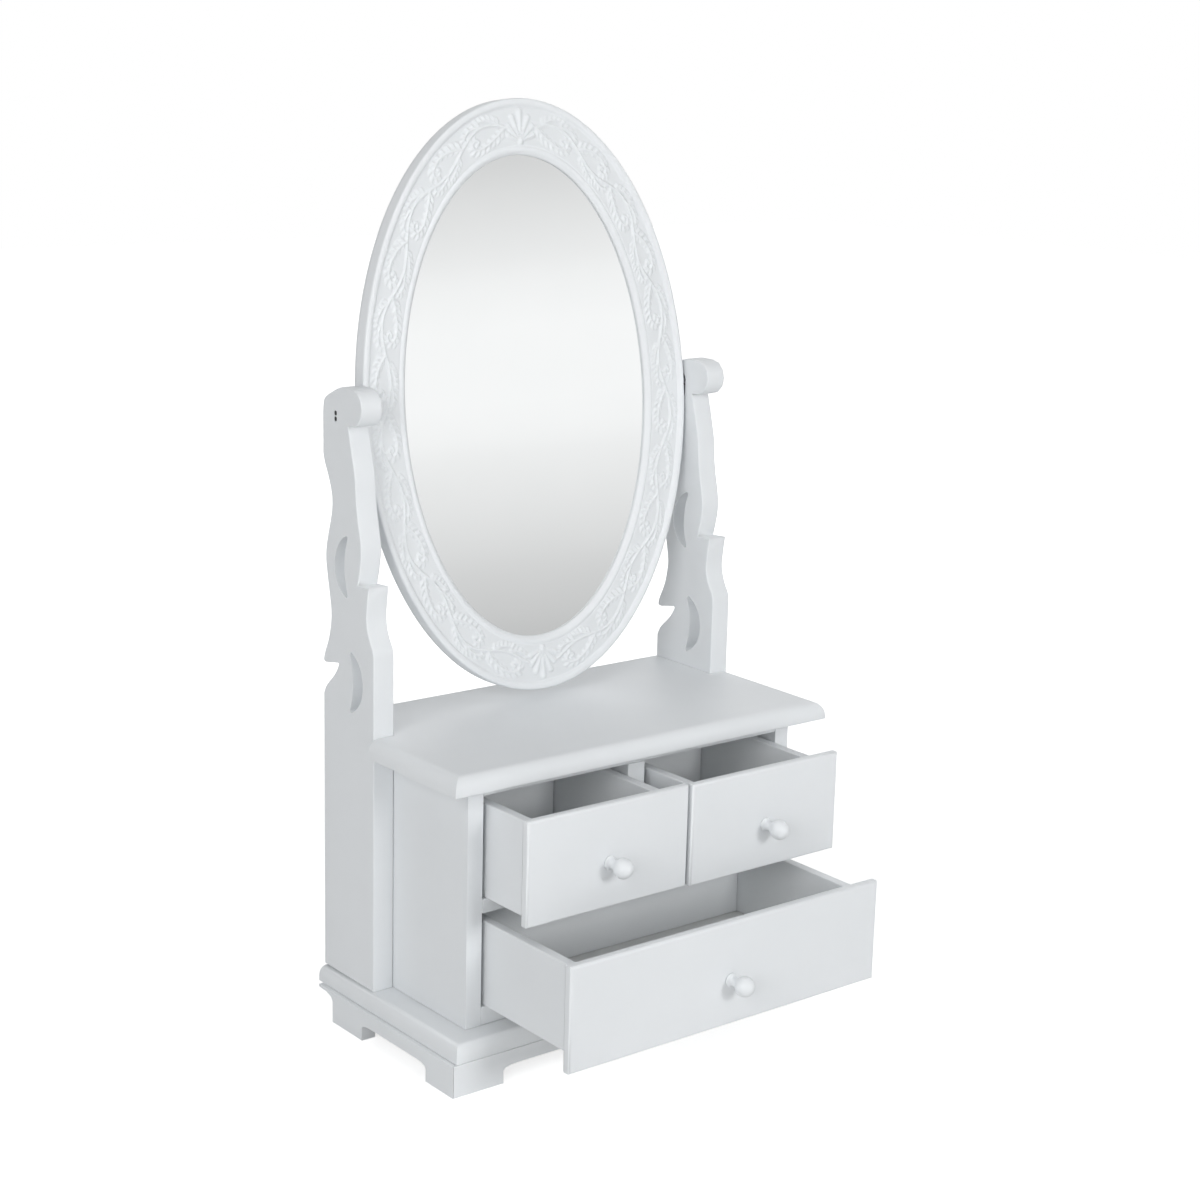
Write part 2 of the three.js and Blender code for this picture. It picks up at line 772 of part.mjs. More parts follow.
function makeSocket(name, side) {
  const bore = pivotPinRadius + pivotGap;
  const outer = bore + socketWall;
  const flange = seatGap + socketFlangeThickness;
  const floor = flange + pivotPinReach;
  const end = flange + socketLength;
  const profile = [
    [bore, 0], [socketFlangeRadius, 0], [socketFlangeRadius, socketFlangeThickness],
    [outer, socketFlangeThickness], [outer, end], [0, end], [0, floor], [bore, floor], [bore, 0],
  ];
  const start = [side * (mirrorHalfWidth + flange), 0, 0];
  return piece(`pivot_socket_${name}`, turned(profile, inward(side), start, smallSteps), steel);
}

// An oval plate that lies in the rebate behind the sight edge
function pane(name, gap, thickness, material) {
  const share = frameSectionShares.at(-2)[0];
  const shape = oval(
    mirrorHalfWidth - bandSide * share - glassMargin,
    mirrorHalfHeight - bandEnd * share - glassMargin,
  );
  const front = mirrorBack - rebateDepth() + gap;
  return piece(name, frontSlab(shape, [front, front + thickness]), material);
}

// A turn clip with its screw, pointing from the frame towards the middle
function makeClip(name, degrees) {
  const [x, y, z] = clipSeat(degrees);
  const radius = clipWidth / 2;
  const shape = new THREE.Shape();
  shape.absarc(0, 0, radius, Math.PI / 2, 3 * Math.PI / 2, false);
  shape.absarc(clipLength - clipTail - radius, 0, radius, -Math.PI / 2, Math.PI / 2, false);
  const plate = frontSlab(shape, [seatGap, seatGap + clipThickness]);
  const screw = turned([
    [0, -clipScrewDepth], [clipScrewRadius, -clipScrewDepth], [clipScrewRadius, seatGap + clipThickness / 2],
    [clipHeadRadius, seatGap + clipThickness], [clipHeadRadius * Math.SQRT1_2, seatGap + clipHeadHeight],
    [0, seatGap + clipHeadHeight],
  ], rearward, [0, 0, 0], smallSteps);
  const clip = joined(plate, screw);
  const towardsMiddle = Math.atan2(-z, -x);
  clip.rotateY(-towardsMiddle).translate(x, y, z);
  return piece(`clip_${name}`, clip, steel);
}

function makeMirror() {
  const group = new THREE.Group();
  group.add(
    makeMirrorFrame(),
    pane('mirror_glass', seatGap, glassThickness, silvering),
    pane('backing_board', glassThickness + 2 * seatGap, backingThickness, board),
  );
  for (const [name, side] of Object.entries(sides)) group.add(makeSocket(name, side));
  for (const [name, degrees] of Object.entries(clipAngles)) group.add(makeClip(name, degrees));
  group.rotation.x = -THREE.MathUtils.degToRad(leanDegrees);
  group.position.set(0, pivotY, pivotHeight);
  return group;
}

// The bare shape of a knob's ball on its neck and foot
function makeKnob(name, x, z) {
  const centre = knobReach - knobRadius;
  const start = Math.asin(knobNeckRadius / knobRadius);
  const profile = [
    [0, 0], [knobFootRadius, 0], [knobFootRadius, knobFootHeight], [knobNeckRadius, knobNeckStart],
  ];
  for (let i = 0; i <= arcSteps; i += 1) {
    const angle = start + (Math.PI - start) * i / arcSteps;
    profile.push([knobRadius * Math.sin(angle) * (i < arcSteps), centre - knobRadius * Math.cos(angle)]);
  }
  const seat = [x, frontShut - frontThickness - seatGap, z];
  const hole = rod(
    knobScrewRadius + seatGap, forward, [x, seat[1] + cutOverrun, z], cutOverrun + knobScrewDepth + seatGap,
  );
  return piece(name, cut(turned(profile, forward, seat), hole), paint);
}

function makeKnobScrew(name, x, z) {
  const length = frontThickness + 2 * seatGap + knobScrewDepth;
  const head = -knobScrewHeadHeight;
  const profile = [
    [0, head], [knobScrewHeadRadius * Math.SQRT1_2, head], [knobScrewHeadRadius, head / 2],
    [knobScrewHeadRadius, 0], [knobScrewRadius, 0], [knobScrewRadius, length], [0, length],
  ];
  return piece(name, turned(profile, forward, [x, frontShut + seatGap, z], smallSteps), steel);
}

// A drawer: a thick front over a box whose thin bottom runs in grooves
function makeDrawer(name, { face, height, box, floor, opening }) {
  const group = new THREE.Group();
  const knobPlace = [(face[0] + face[1]) / 2, (height[0] + height[1]) / 2 - knobDrop];
  const wallRear = carcassRear - boxRearGap;
  const wallHeight = [floor + seatGap, height[1] - wallDrop];
  const panelHeight = [wallHeight[0] + panelRise, wallHeight[0] + panelRise + panelThickness];
  const grooveHeight = [panelHeight[0] - seatGap, panelHeight[1] + seatGap];
  const inside = [box[0] + boxWall, box[1] - boxWall];
  const panel = [inside[0] - panelHousing, inside[1] + panelHousing];
  const groove = block(
    [panel[0] - seatGap, panel[1] + seatGap],
    [frontShut - panelHousing - seatGap, wallRear + cutOverrun],
    grooveHeight,
  );
  const screwHole = rod(
    knobScrewRadius + seatGap, forward, [knobPlace[0], frontShut + cutOverrun, knobPlace[1]],
    frontThickness + 2 * cutOverrun,
  );
  const front = frontSlab(rectangle(face, height), [frontShut - frontThickness, frontShut], frontEdge);
  const left = block([box[0], inside[0]], [carcassFront, wallRear], wallHeight);
  const right = block([inside[1], box[1]], [carcassFront, wallRear], wallHeight);
  const back = block(
    [inside[0] + seatGap, inside[1] - seatGap], [wallRear - boxWall, wallRear],
    [grooveHeight[1], wallHeight[1]],
  );
  group.add(
    piece(`${name}_front`, cut(front, groove, screwHole), paint),
    piece(`${name}_wall_left`, cut(left, groove), paint),
    piece(`${name}_wall_right`, cut(right, groove), paint),
    piece(`${name}_wall_back`, back, paint),
    piece(`${name}_bottom`, block(panel, [frontShut - panelHousing, wallRear], panelHeight), board),
    makeKnob(`${name}_knob`, ...knobPlace),
    makeKnobScrew(`${name}_knob_screw`, ...knobPlace),
  );
  group.position.y = -opening;
  return group;
}

function drawerPlaces() {
  const faceEnd = carcassInner + frontSideLap;
  const boxEnd = carcassInner - boxSideGap;
  const faceMiddle = frontMiddleGap / 2;
  const boxMiddle = dividerThickness / 2 + boxSideGap;
  const upper = { height: [shelfTop - upperFrontLap, upperBayTop - frontTopGap], floor: shelfTop };
  const lower = { height: [bottomTop - lowerFrontLap, shelfUnderside - frontTopGap], floor: bottomTop };
  return {
    drawer_left: {
      ...upper, face: [-faceEnd, -faceMiddle], box: [-boxEnd, -boxMiddle], opening: leftOpening,
    },
    drawer_right: {
      ...upper, face: [faceMiddle, faceEnd], box: [boxMiddle, boxEnd], opening: rightOpening,
    },
    drawer_lower: { ...lower, face: [-faceEnd, faceEnd], box: [-boxEnd, boxEnd], opening: lowerOpening },
  };
}

function makePlinth() {
  const group = new THREE.Group();
  group.add(makeFrontApron());
  for (const [name, side] of Object.entries(sides)) group.add(makeSideApron(name, side));
  group.add(makeRearRail(), ...makeCornerBlocks(), makeBaseBoard());
  return group;
}

function makeDressingTable() {
  const table = new THREE.Group();
  table.name = 'dressing_table';
  table.add(makePlinth(), makeCarcass(), makePosts());
  for (const [name, places] of Object.entries(drawerPlaces())) table.add(makeDrawer(name, places));
  table.add(makeMirror());
  return table;
}

export default makeDressingTable();
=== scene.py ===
# %% [markdown]
# # A table-top dressing table
# A small white dressing table: bracket feet, three drawers, two shaped posts and an oval mirror
# that tilts between them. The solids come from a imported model. This script gives them soft
# edges, paint, metal and glass, and carves the mirror's frame.

# %% Load the solids
import json
import math

import bmesh
import bpy
import numpy as np
from mathutils import Matrix, Vector


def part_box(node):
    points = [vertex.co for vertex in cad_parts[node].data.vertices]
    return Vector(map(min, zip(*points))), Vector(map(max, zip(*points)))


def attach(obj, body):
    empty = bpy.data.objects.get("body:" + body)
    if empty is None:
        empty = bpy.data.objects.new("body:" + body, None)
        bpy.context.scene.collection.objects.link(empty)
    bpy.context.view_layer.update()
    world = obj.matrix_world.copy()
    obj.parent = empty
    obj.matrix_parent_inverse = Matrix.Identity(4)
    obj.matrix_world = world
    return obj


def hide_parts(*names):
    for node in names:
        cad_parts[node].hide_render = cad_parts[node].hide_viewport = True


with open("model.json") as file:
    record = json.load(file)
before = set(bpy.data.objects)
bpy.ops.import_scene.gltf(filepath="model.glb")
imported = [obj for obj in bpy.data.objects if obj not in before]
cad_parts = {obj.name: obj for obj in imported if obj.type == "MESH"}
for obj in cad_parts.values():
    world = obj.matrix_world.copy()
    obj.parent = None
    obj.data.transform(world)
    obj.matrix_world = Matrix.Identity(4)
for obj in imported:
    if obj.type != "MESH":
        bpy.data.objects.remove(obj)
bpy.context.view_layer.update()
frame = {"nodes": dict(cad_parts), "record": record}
nodes = frame["nodes"]
scene = bpy.context.scene
MM = 0.001
DRAWERS = ("drawer_left", "drawer_right", "drawer_lower")

# %% [markdown]
# ## The camera
# The photograph was taken from the front left, a little above the table top, with a short
# telephoto lens and a slight roll. The eye, the aim and the lens were fitted to the corners of
# the boards, so the render lies over the photograph. The focal length came out in the
# photograph's own pixels, and a camera in Blender wants it in millimetres of its sensor.

# %% Place the camera
eye = Vector((-1.1698, -1.4991, 0.8266))
aim = Vector((-0.0279, -0.0721, 0.3828))
roll = math.radians(1.47)
focal_pixels, photo_pixels = 2271.45, 1200
sensor_mm = 36

ahead = (aim - eye).normalized()
level_right = ahead.cross(Vector((0, 0, 1))).normalized()
level_up = level_right.cross(ahead)
picture_right = math.cos(roll) * level_right + math.sin(roll) * level_up
picture_up = math.cos(roll) * level_up - math.sin(roll) * level_right

camera = bpy.data.objects.new("photo_camera", bpy.data.cameras.new("photo_camera"))
camera.data.sensor_width = sensor_mm
camera.data.lens = sensor_mm * (focal_pixels / photo_pixels)
camera.rotation_mode = "QUATERNION"
camera.rotation_quaternion = Matrix((picture_right, picture_up, -ahead)).transposed().to_quaternion()
camera.location = eye
scene.collection.objects.link(camera)
scene.camera = camera
print("lens in mm:", round(camera.data.lens, 1), "distance in mm:", round((aim - eye).length / MM))

# %% [markdown]
# ## Shared effects for the finishes
# Every finish below is a tree of nodes. Three small helpers keep that short: one adds a node,
# one fills its inputs by name, so that from_min stands for From Min, and one gives a node group
# its sockets.

# %% Helpers for node trees
def node(tree, kind, place, **values):
    made = tree.nodes.new(kind)
    made.location = place
    for name, value in values.items():
        setattr(made, name, value)
    return made


def fill(made, **values):
    for name, value in values.items():
        made.inputs[name.replace("_", " ").title()].default_value = value


def sockets(tree, side, names):
    for name, kind, value in names:
        socket = tree.interface.new_socket(name, in_out=side, socket_type=kind)
        if value is not None:
            socket.default_value = value


# %% [markdown]
# Satin paint is never quite even: it clouds a little, and the roller leaves fine ripples that
# only show in a highlight. Bare board and plated steel vary in the same way at other scales.
# One node group makes such a skin, and each material places it with its own sizes.

# %% Node group: a skin that varies
def build_skin():
    tree = bpy.data.node_groups.new("varied_skin", "ShaderNodeTree")
    sockets(tree, "INPUT", [
        ("Colour", "NodeSocketColor", (0.8, 0.8, 0.8, 1)),
        ("Second Colour", "NodeSocketColor", (0.75, 0.75, 0.75, 1)),
        ("Cloud Scale", "NodeSocketFloat", 9.0),
        ("Ripple Scale", "NodeSocketFloat", 900.0),
        ("Ripple Height", "NodeSocketFloat", 0.00002),
        ("Stretch", "NodeSocketVector", (1, 1, 1)),
        ("Roughness", "NodeSocketFloat", 0.4),
        ("Roughness Spread", "NodeSocketFloat", 0.1),
    ])
    sockets(tree, "OUTPUT", [
        ("Colour", "NodeSocketColor", None),
        ("Roughness", "NodeSocketFloat", None),
        ("Normal", "NodeSocketVector", None),
    ])
    link = tree.links.new
    given = node(tree, "NodeGroupInput", (-900, 0))
    given_out = node(tree, "NodeGroupOutput", (600, 0))
    where = node(tree, "ShaderNodeTexCoord", (-900, -300))
    stretched = node(tree, "ShaderNodeVectorMath", (-700, -200), operation="MULTIPLY")
    clouds = node(tree, "ShaderNodeTexNoise", (-450, 150))
    fill(clouds, detail=4)
    ripples = node(tree, "ShaderNodeTexNoise", (-450, -250))
    fill(ripples, detail=3)
    even = node(tree, "ShaderNodeMapRange", (-200, 250))
    fill(even, from_min=0.35, from_max=0.65)
    mixed = node(tree, "ShaderNodeMix", (50, 200), data_type="RGBA")
    centred = node(tree, "ShaderNodeMath", (-200, -50), operation="SUBTRACT")
    centred.inputs[1].default_value = 0.5
    spread = node(tree, "ShaderNodeMath", (50, -50), operation="MULTIPLY_ADD")
    bump = node(tree, "ShaderNodeBump", (50, -250))
    link(where.outputs["Object"], stretched.inputs[0])
    link(given.outputs["Stretch"], stretched.inputs[1])
    link(stretched.outputs[0], clouds.inputs["Vector"])
    link(stretched.outputs[0], ripples.inputs["Vector"])
    link(given.outputs["Cloud Scale"], clouds.inputs["Scale"])
    link(given.outputs["Ripple Scale"], ripples.inputs["Scale"])
    link(clouds.outputs["Fac"], even.inputs["Value"])
    link(even.outputs["Result"], mixed.inputs["Factor"])
    link(given.outputs["Colour"], mixed.inputs["A"])
    link(given.outputs["Second Colour"], mixed.inputs["B"])
    link(clouds.outputs["Fac"], centred.inputs[0])
    link(centred.outputs[0], spread.inputs[0])
    link(given.outputs["Roughness Spread"], spread.inputs[1])
    link(given.outputs["Roughness"], spread.inputs[2])
    link(ripples.outputs["Fac"], bump.inputs["Height"])
    link(given.outputs["Ripple Height"], bump.inputs["Distance"])
    link(mixed.outputs["Result"], given_out.inputs["Colour"])
    link(spread.outputs[0], given_out.inputs["Roughness"])
    link(bump.outputs["Normal"], given_out.inputs["Normal"])
    return tree


skin = build_skin()
print("node group:", skin.name, "inputs and outputs:", len(skin.interface.items_tree))

# %% [markdown]
# Paint wears where a hand or a cloth meets an edge, and on the white paint the edges are also
# painted lighter, a painted highlight. The Bevel node gives a rounded normal near an edge. Where it
# leaves the true normal there is an edge, so how far the two part is a mask for wear and for that
# painted highlight.

# %% Node group: edges
def build_edges():
    tree = bpy.data.node_groups.new("edge_mask", "ShaderNodeTree")
    sockets(tree, "INPUT", [
        ("Width", "NodeSocketFloat", 0.001),
        ("Strength", "NodeSocketFloat", 2.0),
    ])
    sockets(tree, "OUTPUT", [("Mask", "NodeSocketFloat", None)])
    link = tree.links.new
    given = node(tree, "NodeGroupInput", (-700, 0))
    given_out = node(tree, "NodeGroupOutput", (500, 0))
    rounded = node(tree, "ShaderNodeBevel", (-450, 100), samples=4)
    true = node(tree, "ShaderNodeNewGeometry", (-450, -100))
    turn = node(tree, "ShaderNodeVectorMath", (-200, 0), operation="DOT_PRODUCT")
    away = node(tree, "ShaderNodeMath", (0, 0), operation="SUBTRACT", use_clamp=True)
    away.inputs[0].default_value = 1
    scaled = node(tree, "ShaderNodeMath", (200, 0), operation="MULTIPLY", use_clamp=True)
    link(given.outputs["Width"], rounded.inputs["Radius"])
    link(rounded.outputs["Normal"], turn.inputs[0])
    link(true.outputs["Normal"], turn.inputs[1])
    link(turn.outputs["Value"], away.inputs[1])
    link(away.outputs[0], scaled.inputs[0])
    link(given.outputs["Strength"], scaled.inputs[1])
    link(scaled.outputs[0], given_out.inputs["Mask"])
    return tree


edges = build_edges()
print("node group:", edges.name)

# %% [markdown]
# ## The finishes
# Each material is the varied skin in its own colours on one Principled shader, with an edge
# colour mixed over it where the edge mask says: wear, and on the white paint a painted highlight.
# The carved paint takes its mask from the carving instead: an attribute named hollow is 1 in the
# ground between the leaves, and its darker colour there is painted shade.

# %% A material from the two groups
def finish(name, colour, second, edge, rough, metallic=0.0, relief=False, **skin_values):
    material = bpy.data.materials.new(name)
    material.use_nodes = True
    tree = material.node_tree
    link = tree.links.new
    shader = tree.nodes["Principled BSDF"]
    placed = node(tree, "ShaderNodeGroup", (-600, 0), node_tree=skin)
    fill(placed, colour=(*colour, 1), second_colour=(*second, 1), roughness=rough, **skin_values)
    # The colour mixed in here is wear, a painted highlight on the white paint's edges, and painted shade in
    # the carving's hollows.
    wear_and_painted_light = node(tree, "ShaderNodeMix", (-250, 150), data_type="RGBA")
    fill(wear_and_painted_light, b=(*edge, 1))
    if relief:
        mask = node(tree, "ShaderNodeAttribute", (-600, 300), attribute_name="hollow")
        link(mask.outputs["Fac"], wear_and_painted_light.inputs["Factor"])
    else:
        mask = node(tree, "ShaderNodeGroup", (-600, 300), node_tree=edges)
        link(mask.outputs["Mask"], wear_and_painted_light.inputs["Factor"])
    link(placed.outputs["Colour"], wear_and_painted_light.inputs["A"])
    link(wear_and_painted_light.outputs["Result"], shader.inputs["Base Color"])
    link(placed.outputs["Roughness"], shader.inputs["Roughness"])
    link(placed.outputs["Normal"], shader.inputs["Normal"])
    fill(shader, metallic=metallic)
    return material


# %% [markdown]
# The outside is white satin paint with a cool tinge. The back and the drawer bottoms are thin
# primed board with a faint grain, and the glue blocks are raw pine. The screws that the maker
# hides are zinc plated, and the small ones in the posts' heads are blackened.

# %% Paint, board, pine and steel
# Its lighter edge colour is a painted highlight along the edges, with a little wear.
white_paint = finish(
    "white_paint", colour=(0.815, 0.836, 0.852), second=(0.79, 0.811, 0.827), edge=(0.88, 0.895, 0.905),
    rough=0.42, cloud_scale=7.0, ripple_scale=700.0, ripple_height=0.00003, roughness_spread=0.16,
)
# Its darker edge colour goes into the carving's hollows as painted shade.
carved_paint = finish(
    "carved_white_paint", colour=(0.825, 0.846, 0.862), second=(0.8, 0.82, 0.836), edge=(0.78, 0.8, 0.815),
    rough=0.4, relief=True, cloud_scale=9.0, ripple_scale=800.0, ripple_height=0.00003,
    roughness_spread=0.16,
)
bare_board = finish(
    "bare_board", colour=(0.79, 0.795, 0.785), second=(0.76, 0.765, 0.755), edge=(0.68, 0.66, 0.62),
    rough=0.62, cloud_scale=40.0, ripple_scale=1500.0, ripple_height=0.00004, stretch=(1, 0.35, 1),
)
glue_block = finish(
    "pine_block", colour=(0.62, 0.46, 0.28), second=(0.5, 0.35, 0.2), edge=(0.68, 0.53, 0.35),
    rough=0.7, cloud_scale=120.0, ripple_scale=1200.0, ripple_height=0.00006, stretch=(0.12, 1, 1),
)
plated_steel = finish(
    "plated_steel", colour=(0.6, 0.61, 0.62), second=(0.48, 0.49, 0.5), edge=(0.75, 0.76, 0.77),
    rough=0.3, metallic=1.0, cloud_scale=300.0, ripple_scale=2500.0, ripple_height=0.00001,
    roughness_spread=0.3,
)
dark_steel = finish(
    "blackened_steel", colour=(0.09, 0.09, 0.095), second=(0.05, 0.05, 0.055), edge=(0.2, 0.2, 0.2),
    rough=0.45, metallic=1.0, cloud_scale=300.0, ripple_scale=2500.0, ripple_height=0.00001,
    roughness_spread=0.2,
)
finishes = (white_paint, carved_paint, bare_board, glue_block, plated_steel, dark_steel)
print("finishes:", [material.name for material in finishes])

# %% [markdown]
# The mirror is a sheet of glass with silver behind it. Seen from the front it is a near perfect
# reflector, so a metallic surface with very little roughness stands for both. A faint film of
# haze keeps it from looking like a hole.

# %% Mirror glass
def mirror_finish():
    material = bpy.data.materials.new("silvered_glass")
    material.use_nodes = True
    tree = material.node_tree
    link = tree.links.new
    shader = tree.nodes["Principled BSDF"]
    where = node(tree, "ShaderNodeTexCoord", (-900, 0))
    haze = node(tree, "ShaderNodeTexNoise", (-700, 0))
    fill(haze, scale=14, detail=5)
    film = node(tree, "ShaderNodeMapRange", (-450, 0))
    fill(film, from_min=0.4, from_max=0.75, to_min=0.015, to_max=0.05)
    tint = node(tree, "ShaderNodeMix", (-450, 250), data_type="RGBA")
    fill(tint, a=(0.93, 0.94, 0.94, 1), b=(0.9, 0.915, 0.915, 1))
    link(where.outputs["Object"], haze.inputs["Vector"])
    link(haze.outputs["Fac"], film.inputs["Value"])
    link(haze.outputs["Fac"], tint.inputs["Factor"])
    link(film.outputs["Result"], shader.inputs["Roughness"])
    link(tint.outputs["Result"], shader.inputs["Base Color"])
    fill(shader, metallic=1)
    return material


silvered_glass = mirror_finish()
print("finish:", silvered_glass.name)

# %% [markdown]
# ## Painted boards
# The boards are medium-density board with their edges rubbed round before painting. A packed
# node is loose triangles, so a welded copy is made, its flat faces are joined into whole
# polygons, and a Bevel modifier rounds every sharp edge. Weighted normals keep the broad faces
# flat in the light.

# %% Helpers for a dressed copy
BODY_OF = {}
for body, names in frame["record"]["behaviour"]["bodies"].items():
    BODY_OF.update(dict.fromkeys(names, body))

WELD = 0.005 * MM
FLAT_WITHIN = math.radians(0.6)
SHARP_DEGREES, EDGE_STEPS = 35, 3
BROAD_FACE_WEIGHT = 80


def as_mesh(work, name):
    data = bpy.data.meshes.new(name)
    work.to_mesh(data)
    work.free()
    return data


def as_piece(name, mesh_data, material, body, slot, *replaced):
    piece = bpy.data.objects.new(name, mesh_data)
    piece.data.materials.clear()
    piece.data.materials.append(material)
    scene.collection.objects.link(piece)
    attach(piece, body)
    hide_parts(*replaced)
    return piece


def welded_mesh(node_name):
    work = bmesh.new()
    work.from_mesh(nodes[node_name].data)
    bmesh.ops.remove_doubles(work, verts=work.verts, dist=WELD)
    bmesh.ops.dissolve_limit(work, angle_limit=FLAT_WITHIN, verts=work.verts, edges=work.edges)
    return as_mesh(work, f"{node_name}_finish")


def smooth_but(data, sharp_degrees):
    for polygon in data.polygons:
        polygon.use_smooth = True
    data.set_sharp_from_angle(angle=math.radians(sharp_degrees))


def soften(piece, radius):
    smooth_but(piece.data, SHARP_DEGREES)
    if radius:
        bevel = piece.modifiers.new("eased_edges", "BEVEL")
        bevel.width = radius
        bevel.segments = EDGE_STEPS
        bevel.limit_method = "ANGLE"
        bevel.angle_limit = math.radians(SHARP_DEGREES)
        bevel.miter_outer = "MITER_ARC"
    weighted = piece.modifiers.new("flat_faces", "WEIGHTED_NORMAL")
    weighted.keep_sharp = True
    weighted.weight = BROAD_FACE_WEIGHT


# %% [markdown]
# Each painted board gets its own easing. The number is the radius in millimetres. It is 0 where
# the solids already have their edges rounded, moulded or sawn to an outline.

# %% Boards with eased edges
WALL_RADIUS = 0.9
painted = {
    "side_left": 0.8, "side_right": 0.8, "bottom_panel": 0.6, "shelf": 0.6, "divider": 0.8,
    "top_rail": 0.6, "top_board": 0, "base_board": 0, "front_apron": 0, "apron_left": 0,
    "apron_right": 0, "post_left": 0, "post_right": 0,
}
for drawer in DRAWERS:
    painted[f"{drawer}_front"] = 0
    for wall in ("left", "right", "back"):
        painted[f"{drawer}_wall_{wall}"] = WALL_RADIUS
for name, radius in painted.items():
    board = as_piece(
        f"{name}_finish", welded_mesh(name), white_paint, BODY_OF[name], "white_paint", name
    )
    soften(board, radius * MM)
print("painted boards:", len(painted))

# %% [markdown]
# ## The carved mirror frame
# The frame is an oval moulding: a round nose at the rim, a wide flat with a leaf scroll in low
# relief, a quirk, and a bead at the sight edge. The scroll repeats, so it is drawn as ridges in
# two flat coordinates, in millimetres: how far along the oval from the top, and how far across
# the band. Each ridge is a path with a radius and a height at every point. The highest ridge at
# a place gives the relief there, and the moulding is then swept round the oval with that relief
# added.

# %% Paths and ridges
def smooth_path(points, per_span=7):
    knots = np.array(points, float)
    knots = np.vstack([2 * knots[0] - knots[1], knots, 2 * knots[-1] - knots[-2]])
    path = []
    for a, b, c, d in zip(knots, knots[1:], knots[2:], knots[3:]):
        for f in np.arange(per_span) / per_span:
            path.append(0.5 * (2 * b + (c - a) * f + (2 * a - 5 * b + 4 * c - d) * f**2
                               + (3 * b - a - 3 * c + d) * f**3))
    path.append(knots[-2])
    return np.array(path)


def ridge(path, radii, heights):
    share = np.linspace(0, 1, len(path))
    radius = np.interp(share, np.linspace(0, 1, len(radii)), radii)
    height = np.interp(share, np.linspace(0, 1, len(heights)), heights)
    return np.column_stack([path, radius, height])


def turned(way, degrees):
    c, s = math.cos(math.radians(degrees)), math.sin(math.radians(degrees))
    return np.array([way[0] * c - way[1] * s, way[0] * s + way[1] * c])


# %% [markdown]
# A carver cuts a leaf as a row of leaflets along a rib. Each leaves the rib at a wide angle,
# bends forward, and is a little smaller than the one before. The side is 1 for the left of the
# rib and -1 for the right, and the first and the last leaflet are placed by shares of its points.

# %% Leaflets along a rib
LEAF_ANGLE, TIP_ANGLE = 52, 23
BEND_SHARE, TIP_SHARE, SHRINK_SHARE = 0.6, 0.5, 0.45
LEAF_RADIUS_SHARES = (0.8, 1, 0.35)
LEAF_HEIGHT_SHARES = (1, 0.85, 0.35)
LEAF_SPAN_POINTS = 3


def leaflets(rib, side, first, last, count, length, radius, height):
    made = []
    steps = np.diff(rib, axis=0)
    radii = [radius * share for share in LEAF_RADIUS_SHARES]
    heights = [height * share for share in LEAF_HEIGHT_SHARES]
    for i in range(count):
        at = (first + (last - first) * i / (count - 1)) * (len(rib) - 1)
        index = min(int(at), len(rib) - 2)
        start = rib[index] + (at - index) * steps[index]
        forward = steps[index] / np.hypot(*steps[index])
        size = length * (1 - SHRINK_SHARE * i / (count - 1))
        bend = start + size * BEND_SHARE * turned(forward, LEAF_ANGLE * side)
        tip = bend + size * TIP_SHARE * turned(forward, TIP_ANGLE * side)
        made.append(ridge(smooth_path([start, bend, tip], LEAF_SPAN_POINTS), radii, heights))
    return made


# %% [markdown]
# One wave of the scroll has a stem, a volute that curls back on itself, a spray and a tendril,
# each with its leaflets. A fan of petals, the palmette, marks the top and the foot of the oval.

# %% One wave of the scroll, and the palmette
WAVE, STEM_SWING, STEM_POINTS = 48.0, 6.2, 25
PALMETTE_FOOT = -12.5
PETAL_ANGLES = (-66, -44, -22, 0, 22, 44, 66)
PETAL_START, PETAL_LENGTH, LOSS_PER_DEGREE, PETAL_SPAN_POINTS = 4, 24.5, 0.136, 5
BUTTON_POINTS, BUTTON_RADIUS, BUTTON_HEIGHT = ((0, -12.3), (0.01, -11.8)), 3.2, 1.9


def scroll_wave():
    share = np.linspace(0, 1, STEM_POINTS)
    stem = np.column_stack([WAVE * share, STEM_SWING * np.sin(np.pi * share)])
    volute = smooth_path([(1, 0), (9, -4.6), (19, -8.2), (29, -9.3), (36.6, -6.8), (37.6, -2.4),
                          (33, -0.6), (29.8, -3.2), (32, -5.4)])
    spray = smooth_path([(7, 3.6), (14, 8.4), (22, 11.2), (30, 11.6)])
    tendril = smooth_path([(23, 6.4), (31, 8.6), (39, 8.6), (44, 5.4), (42.4, 2.8)])
    eye_of_volute = np.array([(31.9, -4.0), (32.6, -4.2)])
    return [
        ridge(stem, radii=[1.5, 1.2, 1.5], heights=[1.6, 1.75, 1.6]),
        ridge(volute, radii=[1.6, 1.5, 1.3, 1.0], heights=[1.7, 1.6, 1.5, 1.4]),
        *leaflets(volute, side=-1, first=0.03, last=0.7, count=10, length=8.2, radius=2.0, height=1.45),
        *leaflets(volute, side=1, first=0.06, last=0.45, count=6, length=4.6, radius=1.5, height=1.25),
        ridge(eye_of_volute, radii=[1.9, 1.9], heights=[1.9, 1.9]),
        ridge(spray, radii=[1.4, 1.3, 0.6], heights=[1.5, 1.4, 0.8]),
        *leaflets(spray, side=1, first=0.0, last=0.9, count=6, length=6.4, radius=1.7, height=1.3),
        ridge(tendril, radii=[1.3, 1.2, 0.9], heights=[1.5, 1.4, 1.2]),
        *leaflets(tendril, side=1, first=0.1, last=0.9, count=6, length=6.0, radius=1.6, height=1.3),
    ]


